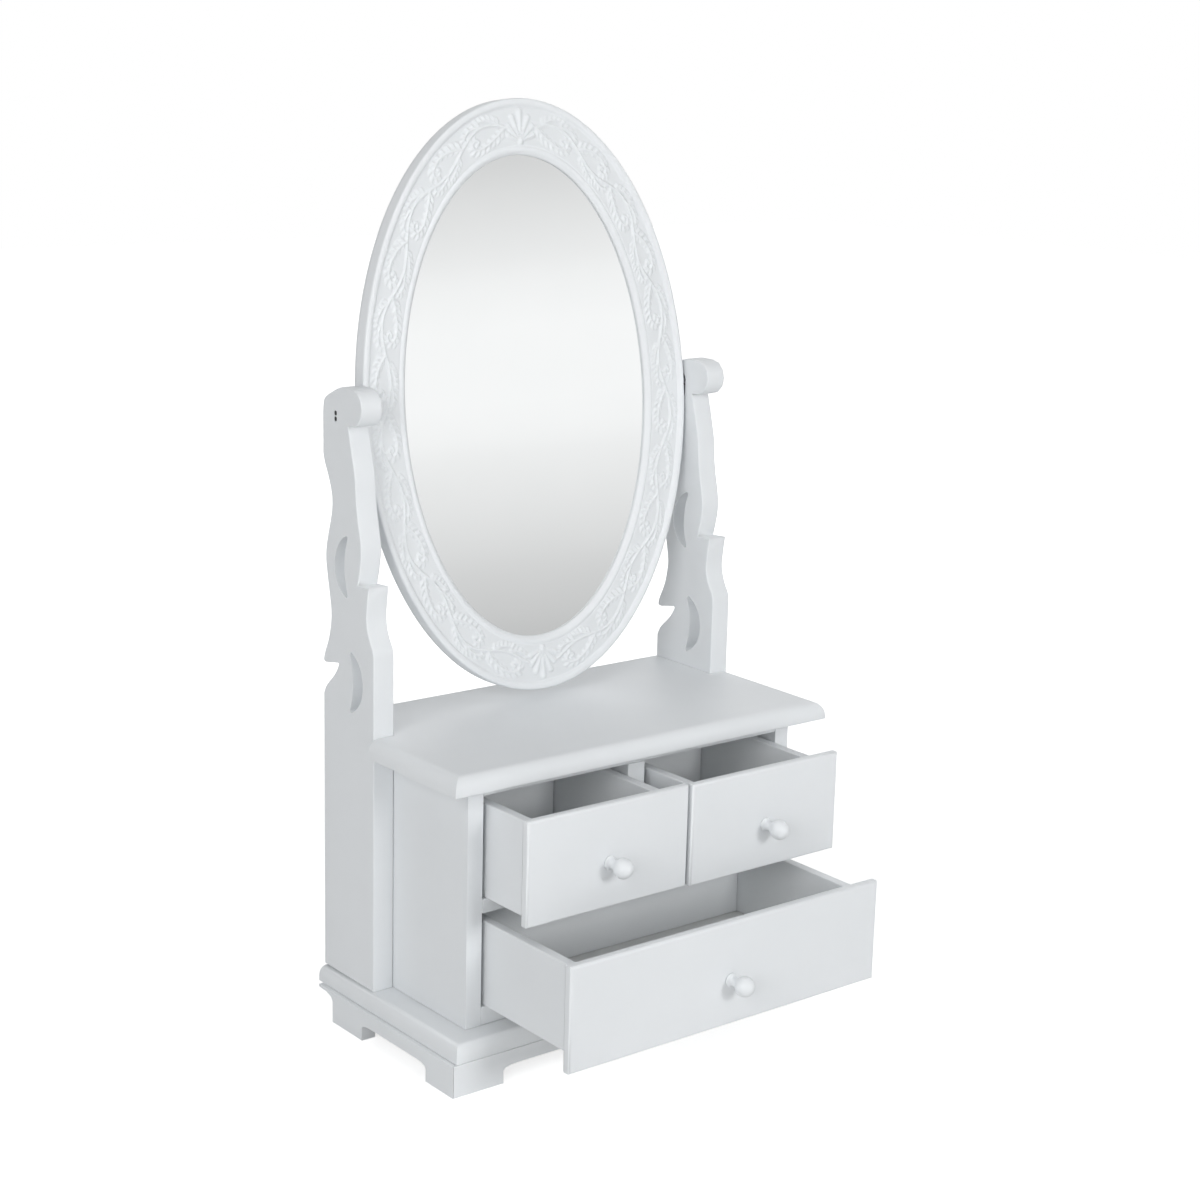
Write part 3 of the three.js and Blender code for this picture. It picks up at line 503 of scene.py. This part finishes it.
def palmette(at):
    base = np.array([at, PALMETTE_FOOT])
    petals = []
    for angle in PETAL_ANGLES:
        way = turned((0, 1), angle)
        tip = base + way * (PETAL_LENGTH - LOSS_PER_DEGREE * abs(angle))
        path = smooth_path([base + PETAL_START * way, (base + tip) / 2, tip], PETAL_SPAN_POINTS)
        petals.append(ridge(path, radii=[0.8, 1.7, 2.4], heights=[1.3, 1.5, 1.9]))
    button = np.array(BUTTON_POINTS) + (at, 0)
    return [*petals, ridge(button, [BUTTON_RADIUS] * 2, [BUTTON_HEIGHT] * 2)]


print("ridges in a wave:", len(scroll_wave()), "in a palmette:", len(palmette(0)))

# %% [markdown]
# Half the oval holds twelve waves, every other one upside down, and the other half mirrors it.
# Each ridge lifts the ground into a dome over its radius, and where ridges cross the higher one
# wins.

# %% Relief over half the oval
WAVES = 12
DOME_POWER = 0.55


def all_ridges(half_length):
    start = (half_length - WAVES * WAVE) / 2
    made = palmette(0.0) + palmette(half_length)
    for wave in range(WAVES):
        for rows in scroll_wave():
            rows[:, 0] += start + WAVE * wave
            rows[:, 1] *= 1 if wave % 2 == 0 else -1
            made.append(rows)
    return made


def relief_map(along, across, ridges):
    height = np.zeros((len(along), len(across)))
    for rows in ridges:
        for a, b in zip(rows, rows[1:]):
            reach = max(a[2], b[2])
            first = np.searchsorted(along, min(a[0], b[0]) - reach)
            last = np.searchsorted(along, max(a[0], b[0]) + reach)
            if first == last:
                continue
            far_along = along[first:last, None] - a[0]
            far_across = across[None, :] - a[1]
            run = b[:2] - a[:2]
            share = np.clip((far_along * run[0] + far_across * run[1]) / (run @ run), 0, 1)
            far = np.hypot(far_along - share * run[0], far_across - share * run[1])
            radius = a[2] + (b[2] - a[2]) * share
            crown = a[3] + (b[3] - a[3]) * share
            dome = crown * np.clip(1 - (far / radius) ** 2, 0, 1) ** DOME_POWER
            height[first:last] = np.maximum(height[first:last], dome)
    return height


# %% [markdown]
# The moulding's section has two shares at each point: of the band's width, from the rim inwards,
# and of the frame's thickness, from the back forwards. The band is a little wider at the top
# and the foot than at the sides, and BAND_MEAN turns its shares into millimetres for the leaves.
# The lines round the oval lie evenly along the band's middle, so the leaves keep their shape all
# the way round. The depth of the ground below the leaves goes into the attribute hollow, with
# which the paint darkens the ground as painted shade.

# %% The moulding's section
HALF_WIDE, HALF_HIGH, BAND_WIDE, BAND_HIGH = 172.0, 255.2, 43.2, 47.3
BAND_MEAN = 45.2
THICK, BACK = 14.5, 7.0
CARVED = (0.17, 0.82)
CARVED_MIDDLE = sum(CARVED) / 2
CARVED_ROWS, COLUMNS, MEASURING_STEPS = 46, 1200, 20001
GROUND = 0.815
HOLLOW_BELOW = 0.9

carved_shares = np.linspace(*CARVED, CARVED_ROWS)
rim = [(0.01, 0), (0, 0.04), (0, 0.3), (0, 0.6), (0, 0.86), (0.004, 0.92), (0.015, 0.965),
       (0.035, 0.99), (0.06, 1), (0.085, 0.995), (0.11, 0.975), (0.13, 0.93), (0.145, 0.87),
       (0.157, 0.83)]
ground = [(float(share), GROUND) for share in carved_shares]
sight = [(0.832, 0.80), (0.845, 0.80), (0.86, 0.83), (0.88, 0.86), (0.90, 0.865), (0.925, 0.85),
         (0.95, 0.80), (0.98, 0.70), (1, 0.66), (1, 0.533), (0.86, 0.533), (0.86, 0)]
section = np.array(rim + ground + sight)
carved_rows = slice(len(rim), len(rim) + CARVED_ROWS)
print("points in the section:", len(section))


# %% Sweep the moulding round the oval
def oval_columns():
    fine = np.linspace(0, 2 * np.pi, MEASURING_STEPS)
    wide, high = HALF_WIDE - BAND_WIDE * CARVED_MIDDLE, HALF_HIGH - BAND_HIGH * CARVED_MIDDLE
    steps = np.hypot(*np.diff([wide * np.sin(fine), high * np.cos(fine)]))
    travelled = np.concatenate([[0], np.cumsum(steps)])
    places = np.arange(COLUMNS) * travelled[-1] / COLUMNS
    return np.interp(places, travelled, fine), places, travelled[-1] / 2


def oval_relief(places, half_length):
    across = BAND_MEAN * (CARVED_MIDDLE - carved_shares)
    half_places = places[: COLUMNS // 2 + 1]
    half_relief = relief_map(half_places, across[::-1], all_ridges(half_length))[:, ::-1]
    return np.concatenate([half_relief, half_relief[-2:0:-1]])


def carved_frame_mesh():
    angles, places, half_length = oval_columns()
    relief = oval_relief(places, half_length)
    raised = np.zeros((COLUMNS, len(section)))
    raised[:, carved_rows] = relief
    x = (HALF_WIDE - BAND_WIDE * section[None, :, 0]) * np.sin(angles)[:, None]
    z = (HALF_HIGH - BAND_HIGH * section[None, :, 0]) * np.cos(angles)[:, None]
    y = BACK - THICK * section[None, :, 1] - raised
    points = np.stack([x, y, z], -1).reshape(-1, 3)
    here = np.arange(COLUMNS)[:, None] * len(section) + np.arange(len(section))[None, :]
    next_column, next_row = np.roll(here, -1, 0), np.roll(here, -1, 1)
    faces = np.stack([here, next_row, np.roll(next_column, -1, 1), next_column], -1).reshape(-1, 4)
    data = bpy.data.meshes.new("mirror_frame_carved")
    data.from_pydata(points.tolist(), [], faces.tolist())
    # hollow tells the carved paint where to darken the ground: painted shade.
    hollow = data.attributes.new("hollow", "FLOAT", "POINT")
    depth = np.zeros_like(raised)
    depth[:, carved_rows] = np.clip(1 - relief / HOLLOW_BELOW, 0, 1)
    hollow.data.foreach_set("value", depth.ravel())
    data.update()
    return data, float(relief.max())


carved_data, highest = carved_frame_mesh()
print("frame faces:", len(carved_data.polygons), "highest relief in mm:", round(highest, 2))

# %% [markdown]
# The swept mesh is in millimetres about the axis on which the mirror tilts. It gets the lean of
# the photograph, the size of the solids, normals that point outwards, and smooth shading
# everywhere but at the hard corners of the back and the rebate. Two round holes in the rim take
# the sockets of the pivots.

# %% Place the frame on its pivots
LEAN_DEGREES, CORNER_DEGREES = 5.9, 75
DRILL_INSET, DRILL_RADIUS, DRILL_LENGTH, DRILL_SIDES = 7, 3.3, 18, 32

tilt = next(joint for joint in frame["record"]["behaviour"]["joints"] if joint["name"] == "mirror_tilt")
pivot = Vector(tilt["pos_m"])
lean = Matrix.Rotation(-math.radians(LEAN_DEGREES), 4, "X")
leaning = Matrix.Translation(pivot) @ lean @ Matrix.Scale(MM, 4)


def outward_normals(data):
    work = bmesh.new()
    work.from_mesh(data)
    bmesh.ops.recalc_face_normals(work, faces=work.faces)
    if work.calc_volume(signed=True) < 0:
        bmesh.ops.reverse_faces(work, faces=work.faces)
    work.to_mesh(data)
    work.free()


def drilled(data, places):
    work = bmesh.new()
    for x in places:
        turn = Matrix.Translation((x, 0, 0)) @ Matrix.Rotation(math.radians(90), 4, "Y")
        bmesh.ops.create_cone(work, cap_ends=True, segments=DRILL_SIDES, radius1=DRILL_RADIUS,
                              radius2=DRILL_RADIUS, depth=DRILL_LENGTH, matrix=turn)
    drill = bpy.data.objects.new("drill", as_mesh(work, "drill"))
    blank = bpy.data.objects.new("blank", data)
    for made in (drill, blank):
        scene.collection.objects.link(made)
    bored = blank.modifiers.new("sockets", "BOOLEAN")
    bored.object = drill
    bored.solver = "EXACT"
    view = bpy.context.evaluated_depsgraph_get()
    result = bpy.data.meshes.new_from_object(blank.evaluated_get(view))
    for made in (drill, blank):
        bpy.data.objects.remove(made)
    return result


outward_normals(carved_data)
carved_data = drilled(carved_data, (-HALF_WIDE + DRILL_INSET, HALF_WIDE - DRILL_INSET))
carved_data.transform(leaning)
smooth_but(carved_data, CORNER_DEGREES)
as_piece("mirror_frame_carved", carved_data, carved_paint, "mirror", "white_paint", "mirror_frame")
print("drilled frame faces:", len(carved_data.polygons))

# %% [markdown]
# ## Ball knobs
# A turned wooden knob: a thin foot, a waist that flows into a ball, all in one profile. Spinning
# the profile round its axis is what a lathe does, and an even 64 steps keep the ball round. A
# point of the profile is a radius and a place along the axis, in millimetres.

# %% Turn a knob
KNOB_REACH, BALL, FOOT, WAIST, NECK = 25.5, 8.5, 6.0, 3.9, 4.9
LATHE_STEPS, BALL_POINTS, CREASE_DEGREES = 64, 26, 50
KNOB_WELD = 0.001 * MM


def knob_profile():
    foot = [(0, 0), (FOOT - 0.2, 0), (FOOT, 0.25), (FOOT, 1.2), (FOOT - 0.25, 1.75), (FOOT - 0.9, 2.1)]
    waist = [(4.5, 2.7), (4.05, 3.6), (WAIST, 5.0), (3.95, 6.6), (4.1, 8.2), (4.45, 9.6)]
    middle = KNOB_REACH - BALL
    bends = np.linspace(math.asin(NECK / BALL), math.pi, BALL_POINTS)
    ball = [(BALL * math.sin(a), middle - BALL * math.cos(a)) for a in bends]
    ball[-1] = (0, KNOB_REACH)
    return foot + waist + ball


def knob_mesh(seat):
    work = bmesh.new()
    line = [work.verts.new((radius * MM, -along * MM, 0)) for radius, along in knob_profile()]
    profile = line + [work.edges.new(pair) for pair in zip(line, line[1:])]
    bmesh.ops.spin(work, geom=profile, cent=(0, 0, 0), axis=(0, 1, 0), steps=LATHE_STEPS, angle=2 * math.pi)
    bmesh.ops.remove_doubles(work, verts=work.verts, dist=KNOB_WELD)
    bmesh.ops.recalc_face_normals(work, faces=work.faces)
    bmesh.ops.translate(work, verts=work.verts, vec=seat)
    data = as_mesh(work, "ball_knob")
    smooth_but(data, CREASE_DEGREES)
    return data


for drawer in DRAWERS:
    knob = f"{drawer}_knob"
    low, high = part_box(knob)
    seat = Vector(((low[0] + high[0]) / 2, high[1], (low[2] + high[2]) / 2))
    as_piece(f"{knob}_turned", knob_mesh(seat), white_paint, drawer, "white_paint", knob)
    print(drawer, "knob at mm:", [round(v / MM, 1) for v in seat])

# %% [markdown]
# ## Screws
# Every screw is the same idea at another size: a head with a cross recess on a shank. A Geometry
# Nodes tree makes one screw from named sizes and sets it on each point, turned to face the way
# that the point's own vector says. The result is turned into a plain mesh for each body. The
# head's face lies at the point, and the rest of the screw hangs below it.

# %% Head, shank and recess
def times(tree, place, source, factor):
    made = node(tree, "ShaderNodeMath", place, operation="MULTIPLY")
    made.inputs[1].default_value = factor
    tree.links.new(source, made.inputs[0])
    return made.outputs[0]


def lowered(tree, place, solid, drop):
    link = tree.links.new
    offset = node(tree, "ShaderNodeCombineXYZ", place)
    moved = node(tree, "GeometryNodeTransform", (place[0] + 200, place[1]))
    link(times(tree, (place[0] - 200, place[1]), drop, -1), offset.inputs["Z"])
    link(solid.outputs["Mesh"], moved.inputs["Geometry"])
    link(offset.outputs[0], moved.inputs["Translation"])
    return moved.outputs["Geometry"]


def screw_head(tree, given):
    head = node(tree, "GeometryNodeMeshCone", (-1000, 300), fill_type="NGON")
    fill(head, vertices=32)
    tree.links.new(given.outputs["Outer Radius"], head.inputs["Radius Top"])
    tree.links.new(given.outputs["Base Radius"], head.inputs["Radius Bottom"])
    tree.links.new(given.outputs["Head Height"], head.inputs["Depth"])
    return lowered(tree, (-800, 150), head, given.outputs["Head Height"])


def screw_shank(tree, given):
    shank = node(tree, "GeometryNodeMeshCylinder", (-1000, 0), fill_type="NGON")
    fill(shank, vertices=20)
    tree.links.new(given.outputs["Shank Radius"], shank.inputs["Radius"])
    tree.links.new(given.outputs["Shank Length"], shank.inputs["Depth"])
    middle = node(tree, "ShaderNodeMath", (-1200, -450), operation="MULTIPLY_ADD")
    middle.inputs[1].default_value = 0.5
    tree.links.new(given.outputs["Shank Length"], middle.inputs[0])
    tree.links.new(given.outputs["Head Height"], middle.inputs[2])
    return lowered(tree, (-800, -450), shank, middle.outputs[0])


def with_cross(tree, given, head):
    arm = node(tree, "ShaderNodeMath", (-1200, 700), operation="MULTIPLY")
    tree.links.new(given.outputs["Outer Radius"], arm.inputs[0])
    tree.links.new(given.outputs["Recess Share"], arm.inputs[1])
    length = times(tree, (-1000, 700), arm.outputs[0], 2)
    width = times(tree, (-1000, 850), arm.outputs[0], 0.5)
    cut = node(tree, "GeometryNodeMeshBoolean", (-300, 400), operation="DIFFERENCE")
    tree.links.new(head, cut.inputs["Mesh 1"])
    for row, (first, second) in enumerate((("X", "Y"), ("Y", "X"))):
        size = node(tree, "ShaderNodeCombineXYZ", (-800, 600 + 200 * row))
        tree.links.new(length, size.inputs[first])
        tree.links.new(width, size.inputs[second])
        tree.links.new(given.outputs["Head Height"], size.inputs["Z"])
        bar = node(tree, "GeometryNodeMeshCube", (-600, 600 + 200 * row))
        tree.links.new(size.outputs[0], bar.inputs["Size"])
        tree.links.new(bar.outputs["Mesh"], cut.inputs["Mesh 2"])
    return cut.outputs["Mesh"]


# %% Node tree of a cross-head screw
def build_screw_tree():
    tree = bpy.data.node_groups.new("cross_screw", "GeometryNodeTree")
    sockets(tree, "OUTPUT", [("Geometry", "NodeSocketGeometry", None)])
    sockets(tree, "INPUT", [
        ("Geometry", "NodeSocketGeometry", None), ("Outer Radius", "NodeSocketFloat", 0.002),
        ("Base Radius", "NodeSocketFloat", 0.001), ("Head Height", "NodeSocketFloat", 0.001),
        ("Shank Radius", "NodeSocketFloat", 0.001), ("Shank Length", "NodeSocketFloat", 0.01),
        ("Recess Share", "NodeSocketFloat", 0.62), ("Material", "NodeSocketMaterial", None),
    ])
    link = tree.links.new
    given = node(tree, "NodeGroupInput", (-1400, 0))
    one = node(tree, "GeometryNodeJoinGeometry", (-100, 200))
    link(with_cross(tree, given, screw_head(tree, given)), one.inputs[0])
    link(screw_shank(tree, given), one.inputs[0])
    facing = node(tree, "GeometryNodeInputNamedAttribute", (-500, -200), data_type="FLOAT_VECTOR")
    fill(facing, name="facing")
    turn = node(tree, "FunctionNodeAlignRotationToVector", (-300, -200), axis="Z")
    placed = node(tree, "GeometryNodeInstanceOnPoints", (100, 0))
    real = node(tree, "GeometryNodeRealizeInstances", (300, 0))
    dressed = node(tree, "GeometryNodeSetMaterial", (500, 0))
    made = node(tree, "NodeGroupOutput", (700, 0))
    link(facing.outputs["Attribute"], turn.inputs["Vector"])
    link(given.outputs["Geometry"], placed.inputs["Points"])
    link(one.outputs[0], placed.inputs["Instance"])
    link(turn.outputs["Rotation"], placed.inputs["Rotation"])
    link(placed.outputs["Instances"], real.inputs["Geometry"])
    link(real.outputs["Geometry"], dressed.inputs["Geometry"])
    link(given.outputs["Material"], dressed.inputs["Material"])
    link(dressed.outputs["Geometry"], made.inputs["Geometry"])
    return tree


screw_tree = build_screw_tree()
print("node group:", screw_tree.name, "nodes:", len(screw_tree.nodes))

# %% [markdown]
# A point of its own marks where each screw's head shows: the middle of the face that the CAD
# screw turns outwards. The screws of one kind on one body become one piece.

# %% Set the screws on their points
LEFT, RIGHT, REAR = (-1, 0, 0), (1, 0, 0), (0, 1, 0)


def head_place(node_name, facing):
    low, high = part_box(node_name)
    return Vector([high[i] if f > 0 else low[i] if f < 0 else (low[i] + high[i]) / 2
                   for i, f in enumerate(facing)])


def screw_sizes(outer, base, head, shank, length):
    names = ("Outer Radius", "Base Radius", "Head Height", "Shank Radius", "Shank Length")
    return {name: size * MM for name, size in zip(names, (outer, base, head, shank, length))}


def screws(name, body, material, sizes, replaced):
    points = [head_place(node_name, facing) for node_name, facing in replaced]
    data = bpy.data.meshes.new(f"{name}_points")
    data.from_pydata(points, [], [])
    facing = data.attributes.new("facing", "FLOAT_VECTOR", "POINT")
    facing.data.foreach_set("vector", [v for _, way in replaced for v in way])
    maker = bpy.data.objects.new(f"{name}_maker", data)
    scene.collection.objects.link(maker)
    tree_modifier = maker.modifiers.new("screws", "NODES")
    tree_modifier.node_group = screw_tree
    values = {**sizes, "Material": material}
    for item in screw_tree.interface.items_tree:
        if item.in_out == "INPUT" and item.name in values:
            tree_modifier[item.identifier] = values[item.name]
    view = bpy.context.evaluated_depsgraph_get()
    made = bpy.data.meshes.new_from_object(maker.evaluated_get(view))
    bpy.data.objects.remove(maker)
    as_piece(name, made, material, body, "steel", *[node_name for node_name, _ in replaced])
    print(name, "faces:", len(made.polygons))


def both_sides(kind, left_way, right_way):
    ways = {"left": left_way, "right": right_way}
    return [(f"{kind}_{level}_{side}", way) for side, way in ways.items() for level in ("upper", "lower")]


pivot_sizes = screw_sizes(outer=2.0, base=1.1, head=1.2, shank=1.1, length=17.4)
post_sizes = screw_sizes(outer=4.0, base=2.0, head=2.6, shank=2.0, length=23.0)
knob_sizes = screw_sizes(outer=2.9, base=3.8, head=2.4, shank=2.0, length=21.6)
screws("pivot_screws", "cabinet", dark_steel, pivot_sizes, both_sides("pivot_screw", LEFT, RIGHT))
screws("post_screws", "cabinet", plated_steel, post_sizes, both_sides("post_screw", RIGHT, LEFT))
for drawer in DRAWERS:
    screws(f"{drawer}_knob_screws", drawer, plated_steel, knob_sizes, [(f"{drawer}_knob_screw", REAR)])

# %% [markdown]
# ## Pieces that keep their own mesh
# The glue blocks, the thin boards, the plates, sockets and clips, and the glass have the right
# shape in the solids already. They only get their finish.

# %% Finish the plain nodes
def paint_node(node_name, material):
    data = nodes[node_name].data
    data.materials.clear()
    data.materials.append(material)


for name in nodes:
    if name.startswith("corner_block") or name == "rear_rail":
        paint_node(name, glue_block)
    elif name in ("back_panel", "backing_board") or name.endswith("_bottom"):
        paint_node(name, bare_board)
    elif name.startswith(("pivot_plate", "pivot_socket", "clip_")):
        paint_node(name, plated_steel)
    elif name == "mirror_glass":
        paint_node(name, silvered_glass)
print("kept:", sum(not kept.hide_render for kept in nodes.values()))

# %% [markdown]
# ## Floor, room and light
# The photograph has a plain white ground. The floor adds white for what the camera sees
# directly, more so away from the table, so only the table's own shadow is left. A reflection
# looks through the floor, because the mirror shows the far room instead.

# %% Floor
FLOOR_SIZE = 14
SEEN_TONE = 0.8


def stage_finish():
    material = bpy.data.materials.new("studio_floor")
    material.use_nodes = True
    tree = material.node_tree
    link = tree.links.new
    tree.nodes.remove(tree.nodes["Principled BSDF"])
    grain = node(tree, "ShaderNodeTexNoise", (-900, 0))
    fill(grain, scale=60)
    tone = node(tree, "ShaderNodeMapRange", (-700, 0))
    fill(tone, to_min=0.88, to_max=0.9)
    plain = node(tree, "ShaderNodeBsdfDiffuse", (-400, 100))
    seen = node(tree, "ShaderNodeBsdfDiffuse", (-300, -100))
    place = node(tree, "ShaderNodeTexCoord", (-1100, -250))
    distance = node(tree, "ShaderNodeVectorMath", (-900, -250), operation="LENGTH")
    farther = node(tree, "ShaderNodeMapRange", (-700, -250))
    fill(farther, from_min=0.5, from_max=1.3, to_min=0.7, to_max=1)
    glow = node(tree, "ShaderNodeEmission", (-300, -250))
    both = node(tree, "ShaderNodeAddShader", (-100, -150))
    path = node(tree, "ShaderNodeLightPath", (-300, 400))
    shown = node(tree, "ShaderNodeMath", (-100, 300), operation="MAXIMUM")
    choice = node(tree, "ShaderNodeMixShader", (100, 100))
    clear = node(tree, "ShaderNodeBsdfTransparent", (100, -100))
    last = node(tree, "ShaderNodeMixShader", (300, 0))
    link(grain.outputs["Fac"], tone.inputs["Value"])
    link(tone.outputs["Result"], plain.inputs["Color"])
    link(times(tree, (-500, -150), tone.outputs["Result"], SEEN_TONE), seen.inputs["Color"])
    link(place.outputs["Object"], distance.inputs[0])
    link(distance.outputs["Value"], farther.inputs["Value"])
    link(farther.outputs["Result"], glow.inputs["Strength"])
    link(seen.outputs[0], both.inputs[0])
    link(glow.outputs[0], both.inputs[1])
    link(path.outputs["Is Camera Ray"], shown.inputs[0])
    link(path.outputs["Is Transmission Ray"], shown.inputs[1])
    link(shown.outputs[0], choice.inputs["Fac"])
    link(plain.outputs[0], choice.inputs[1])
    link(both.outputs[0], choice.inputs[2])
    link(path.outputs["Is Glossy Ray"], last.inputs["Fac"])
    link(choice.outputs[0], last.inputs[1])
    link(clear.outputs[0], last.inputs[2])
    link(last.outputs[0], tree.nodes["Material Output"].inputs["Surface"])
    return material


bpy.ops.mesh.primitive_plane_add(size=FLOOR_SIZE, location=(0, 0, 0))
floor = bpy.context.object
floor.name = "studio_floor"
floor.data.materials.append(stage_finish())
print("floor:", FLOOR_SIZE, "m square")

# %% [markdown]
# In the photograph the mirror runs from grey at the top through white to grey at the foot. What
# a reflection sees of the world is therefore a grey that follows the direction's height: the Z
# of the world's own coordinates, 0 at the horizon. Light Path tells a reflection from a direct
# look, which sees plain white, and from the soft light that fills the shadows.

# %% What reflections see
ROOM_GREYS = (
    (-0.2, 0.5), (-0.12, 0.5), (-0.083, 0.6), (-0.051, 0.748), (-0.007, 0.927), (0.015, 1.0),
    (0.049, 0.995), (0.075, 0.906), (0.112, 0.738), (0.16, 0.6), (0.3, 1.0),
)
ROOM_LOW, ROOM_HIGH = ROOM_GREYS[0][0], ROOM_GREYS[-1][0]


def room_by_height(tree):
    way = node(tree, "ShaderNodeTexCoord", (-1100, -500))
    parts = node(tree, "ShaderNodeSeparateXYZ", (-900, -500))
    span = node(tree, "ShaderNodeMapRange", (-700, -500))
    fill(span, from_min=ROOM_LOW, from_max=ROOM_HIGH)
    fall = node(tree, "ShaderNodeValToRGB", (-450, -500))
    ramp = fall.color_ramp
    ramp.interpolation = "CARDINAL"
    while len(ramp.elements) < len(ROOM_GREYS):
        ramp.elements.new(1)
    for element, (height, grey) in zip(ramp.elements, ROOM_GREYS):
        element.position = (height - ROOM_LOW) / (ROOM_HIGH - ROOM_LOW)
        element.color = (grey, grey, grey, 1)
    tree.links.new(way.outputs["Generated"], parts.inputs[0])
    tree.links.new(parts.outputs["Z"], span.inputs["Value"])
    tree.links.new(span.outputs["Result"], fall.inputs["Fac"])
    return fall.outputs["Color"]


# %% World
WORLD_STRENGTH = 0.3

world = bpy.data.worlds.new("studio")
scene.world = world
world.use_nodes = True
sky = world.node_tree
sky_link = sky.links.new
background = sky.nodes["Background"]
fill(background, color=(0.965, 0.985, 1.0, 1), strength=WORLD_STRENGTH)
white_back = node(sky, "ShaderNodeBackground", (0, -200))
fill(white_back, color=(1, 1, 1, 1))
far_room = node(sky, "ShaderNodeBackground", (0, -450))
sky_path = node(sky, "ShaderNodeLightPath", (-300, 300))
direct = node(sky, "ShaderNodeMath", (100, 300), operation="MAXIMUM")
reflected = node(sky, "ShaderNodeMixShader", (300, -200))
seen_sky = node(sky, "ShaderNodeMixShader", (500, 0))
sky_link(room_by_height(sky), far_room.inputs["Color"])
sky_link(sky_path.outputs["Is Glossy Ray"], reflected.inputs["Fac"])
sky_link(background.outputs[0], reflected.inputs[1])
sky_link(far_room.outputs[0], reflected.inputs[2])
sky_link(sky_path.outputs["Is Camera Ray"], direct.inputs[0])
sky_link(sky_path.outputs["Is Transmission Ray"], direct.inputs[1])
sky_link(direct.outputs[0], seen_sky.inputs["Fac"])
sky_link(reflected.outputs[0], seen_sky.inputs[1])
sky_link(white_back.outputs[0], seen_sky.inputs[2])
sky_link(seen_sky.outputs[0], sky.nodes["World Output"].inputs["Surface"])
print("world strength:", WORLD_STRENGTH, "greys in the room:", len(ROOM_GREYS))

# %% [markdown]
# The photograph was lit softly from the front and above: the fronts are the brightest faces, and
# the left sides and the top are a step darker. A lamp low in front also reaches into the open
# drawers, a broad one at the left lights the sides, a weak one overhead lights the top, and one
# behind keeps the back readable. Sizes and places are in metres, power is in watts.

# %% Lamps
def lamp(name, place, target, size, power):
    data = bpy.data.lights.new(name, "AREA")
    data.shape = "SQUARE"
    data.size = size
    data.energy = power
    made = bpy.data.objects.new(name, data)
    made.location = place
    made.rotation_mode = "QUATERNION"
    made.rotation_quaternion = (Vector(target) - Vector(place)).to_track_quat("-Z", "Y")
    made.visible_glossy = False
    scene.collection.objects.link(made)


lamp("front_lamp", place=(0.2, -2.9, 1.28), target=(0, 0, 0.28), size=0.8, power=29)
lamp("left_lamp", place=(-2.5, -1.5, 1.3), target=(0, 0, 0.35), size=1.6, power=33)
lamp("high_lamp", place=(-0.5, -0.9, 3.2), target=(0, 0, 0.3), size=2, power=10)
lamp("rear_lamp", place=(2.3, 2.0, 1.5), target=(0, 0, 0.4), size=1.6, power=26)

# %% [markdown]
# ## The view
# The render shows colours through the Standard view transform.

# %% Set the view transform
scene.view_settings.view_transform = "Standard"
bpy.context.view_layer.update()
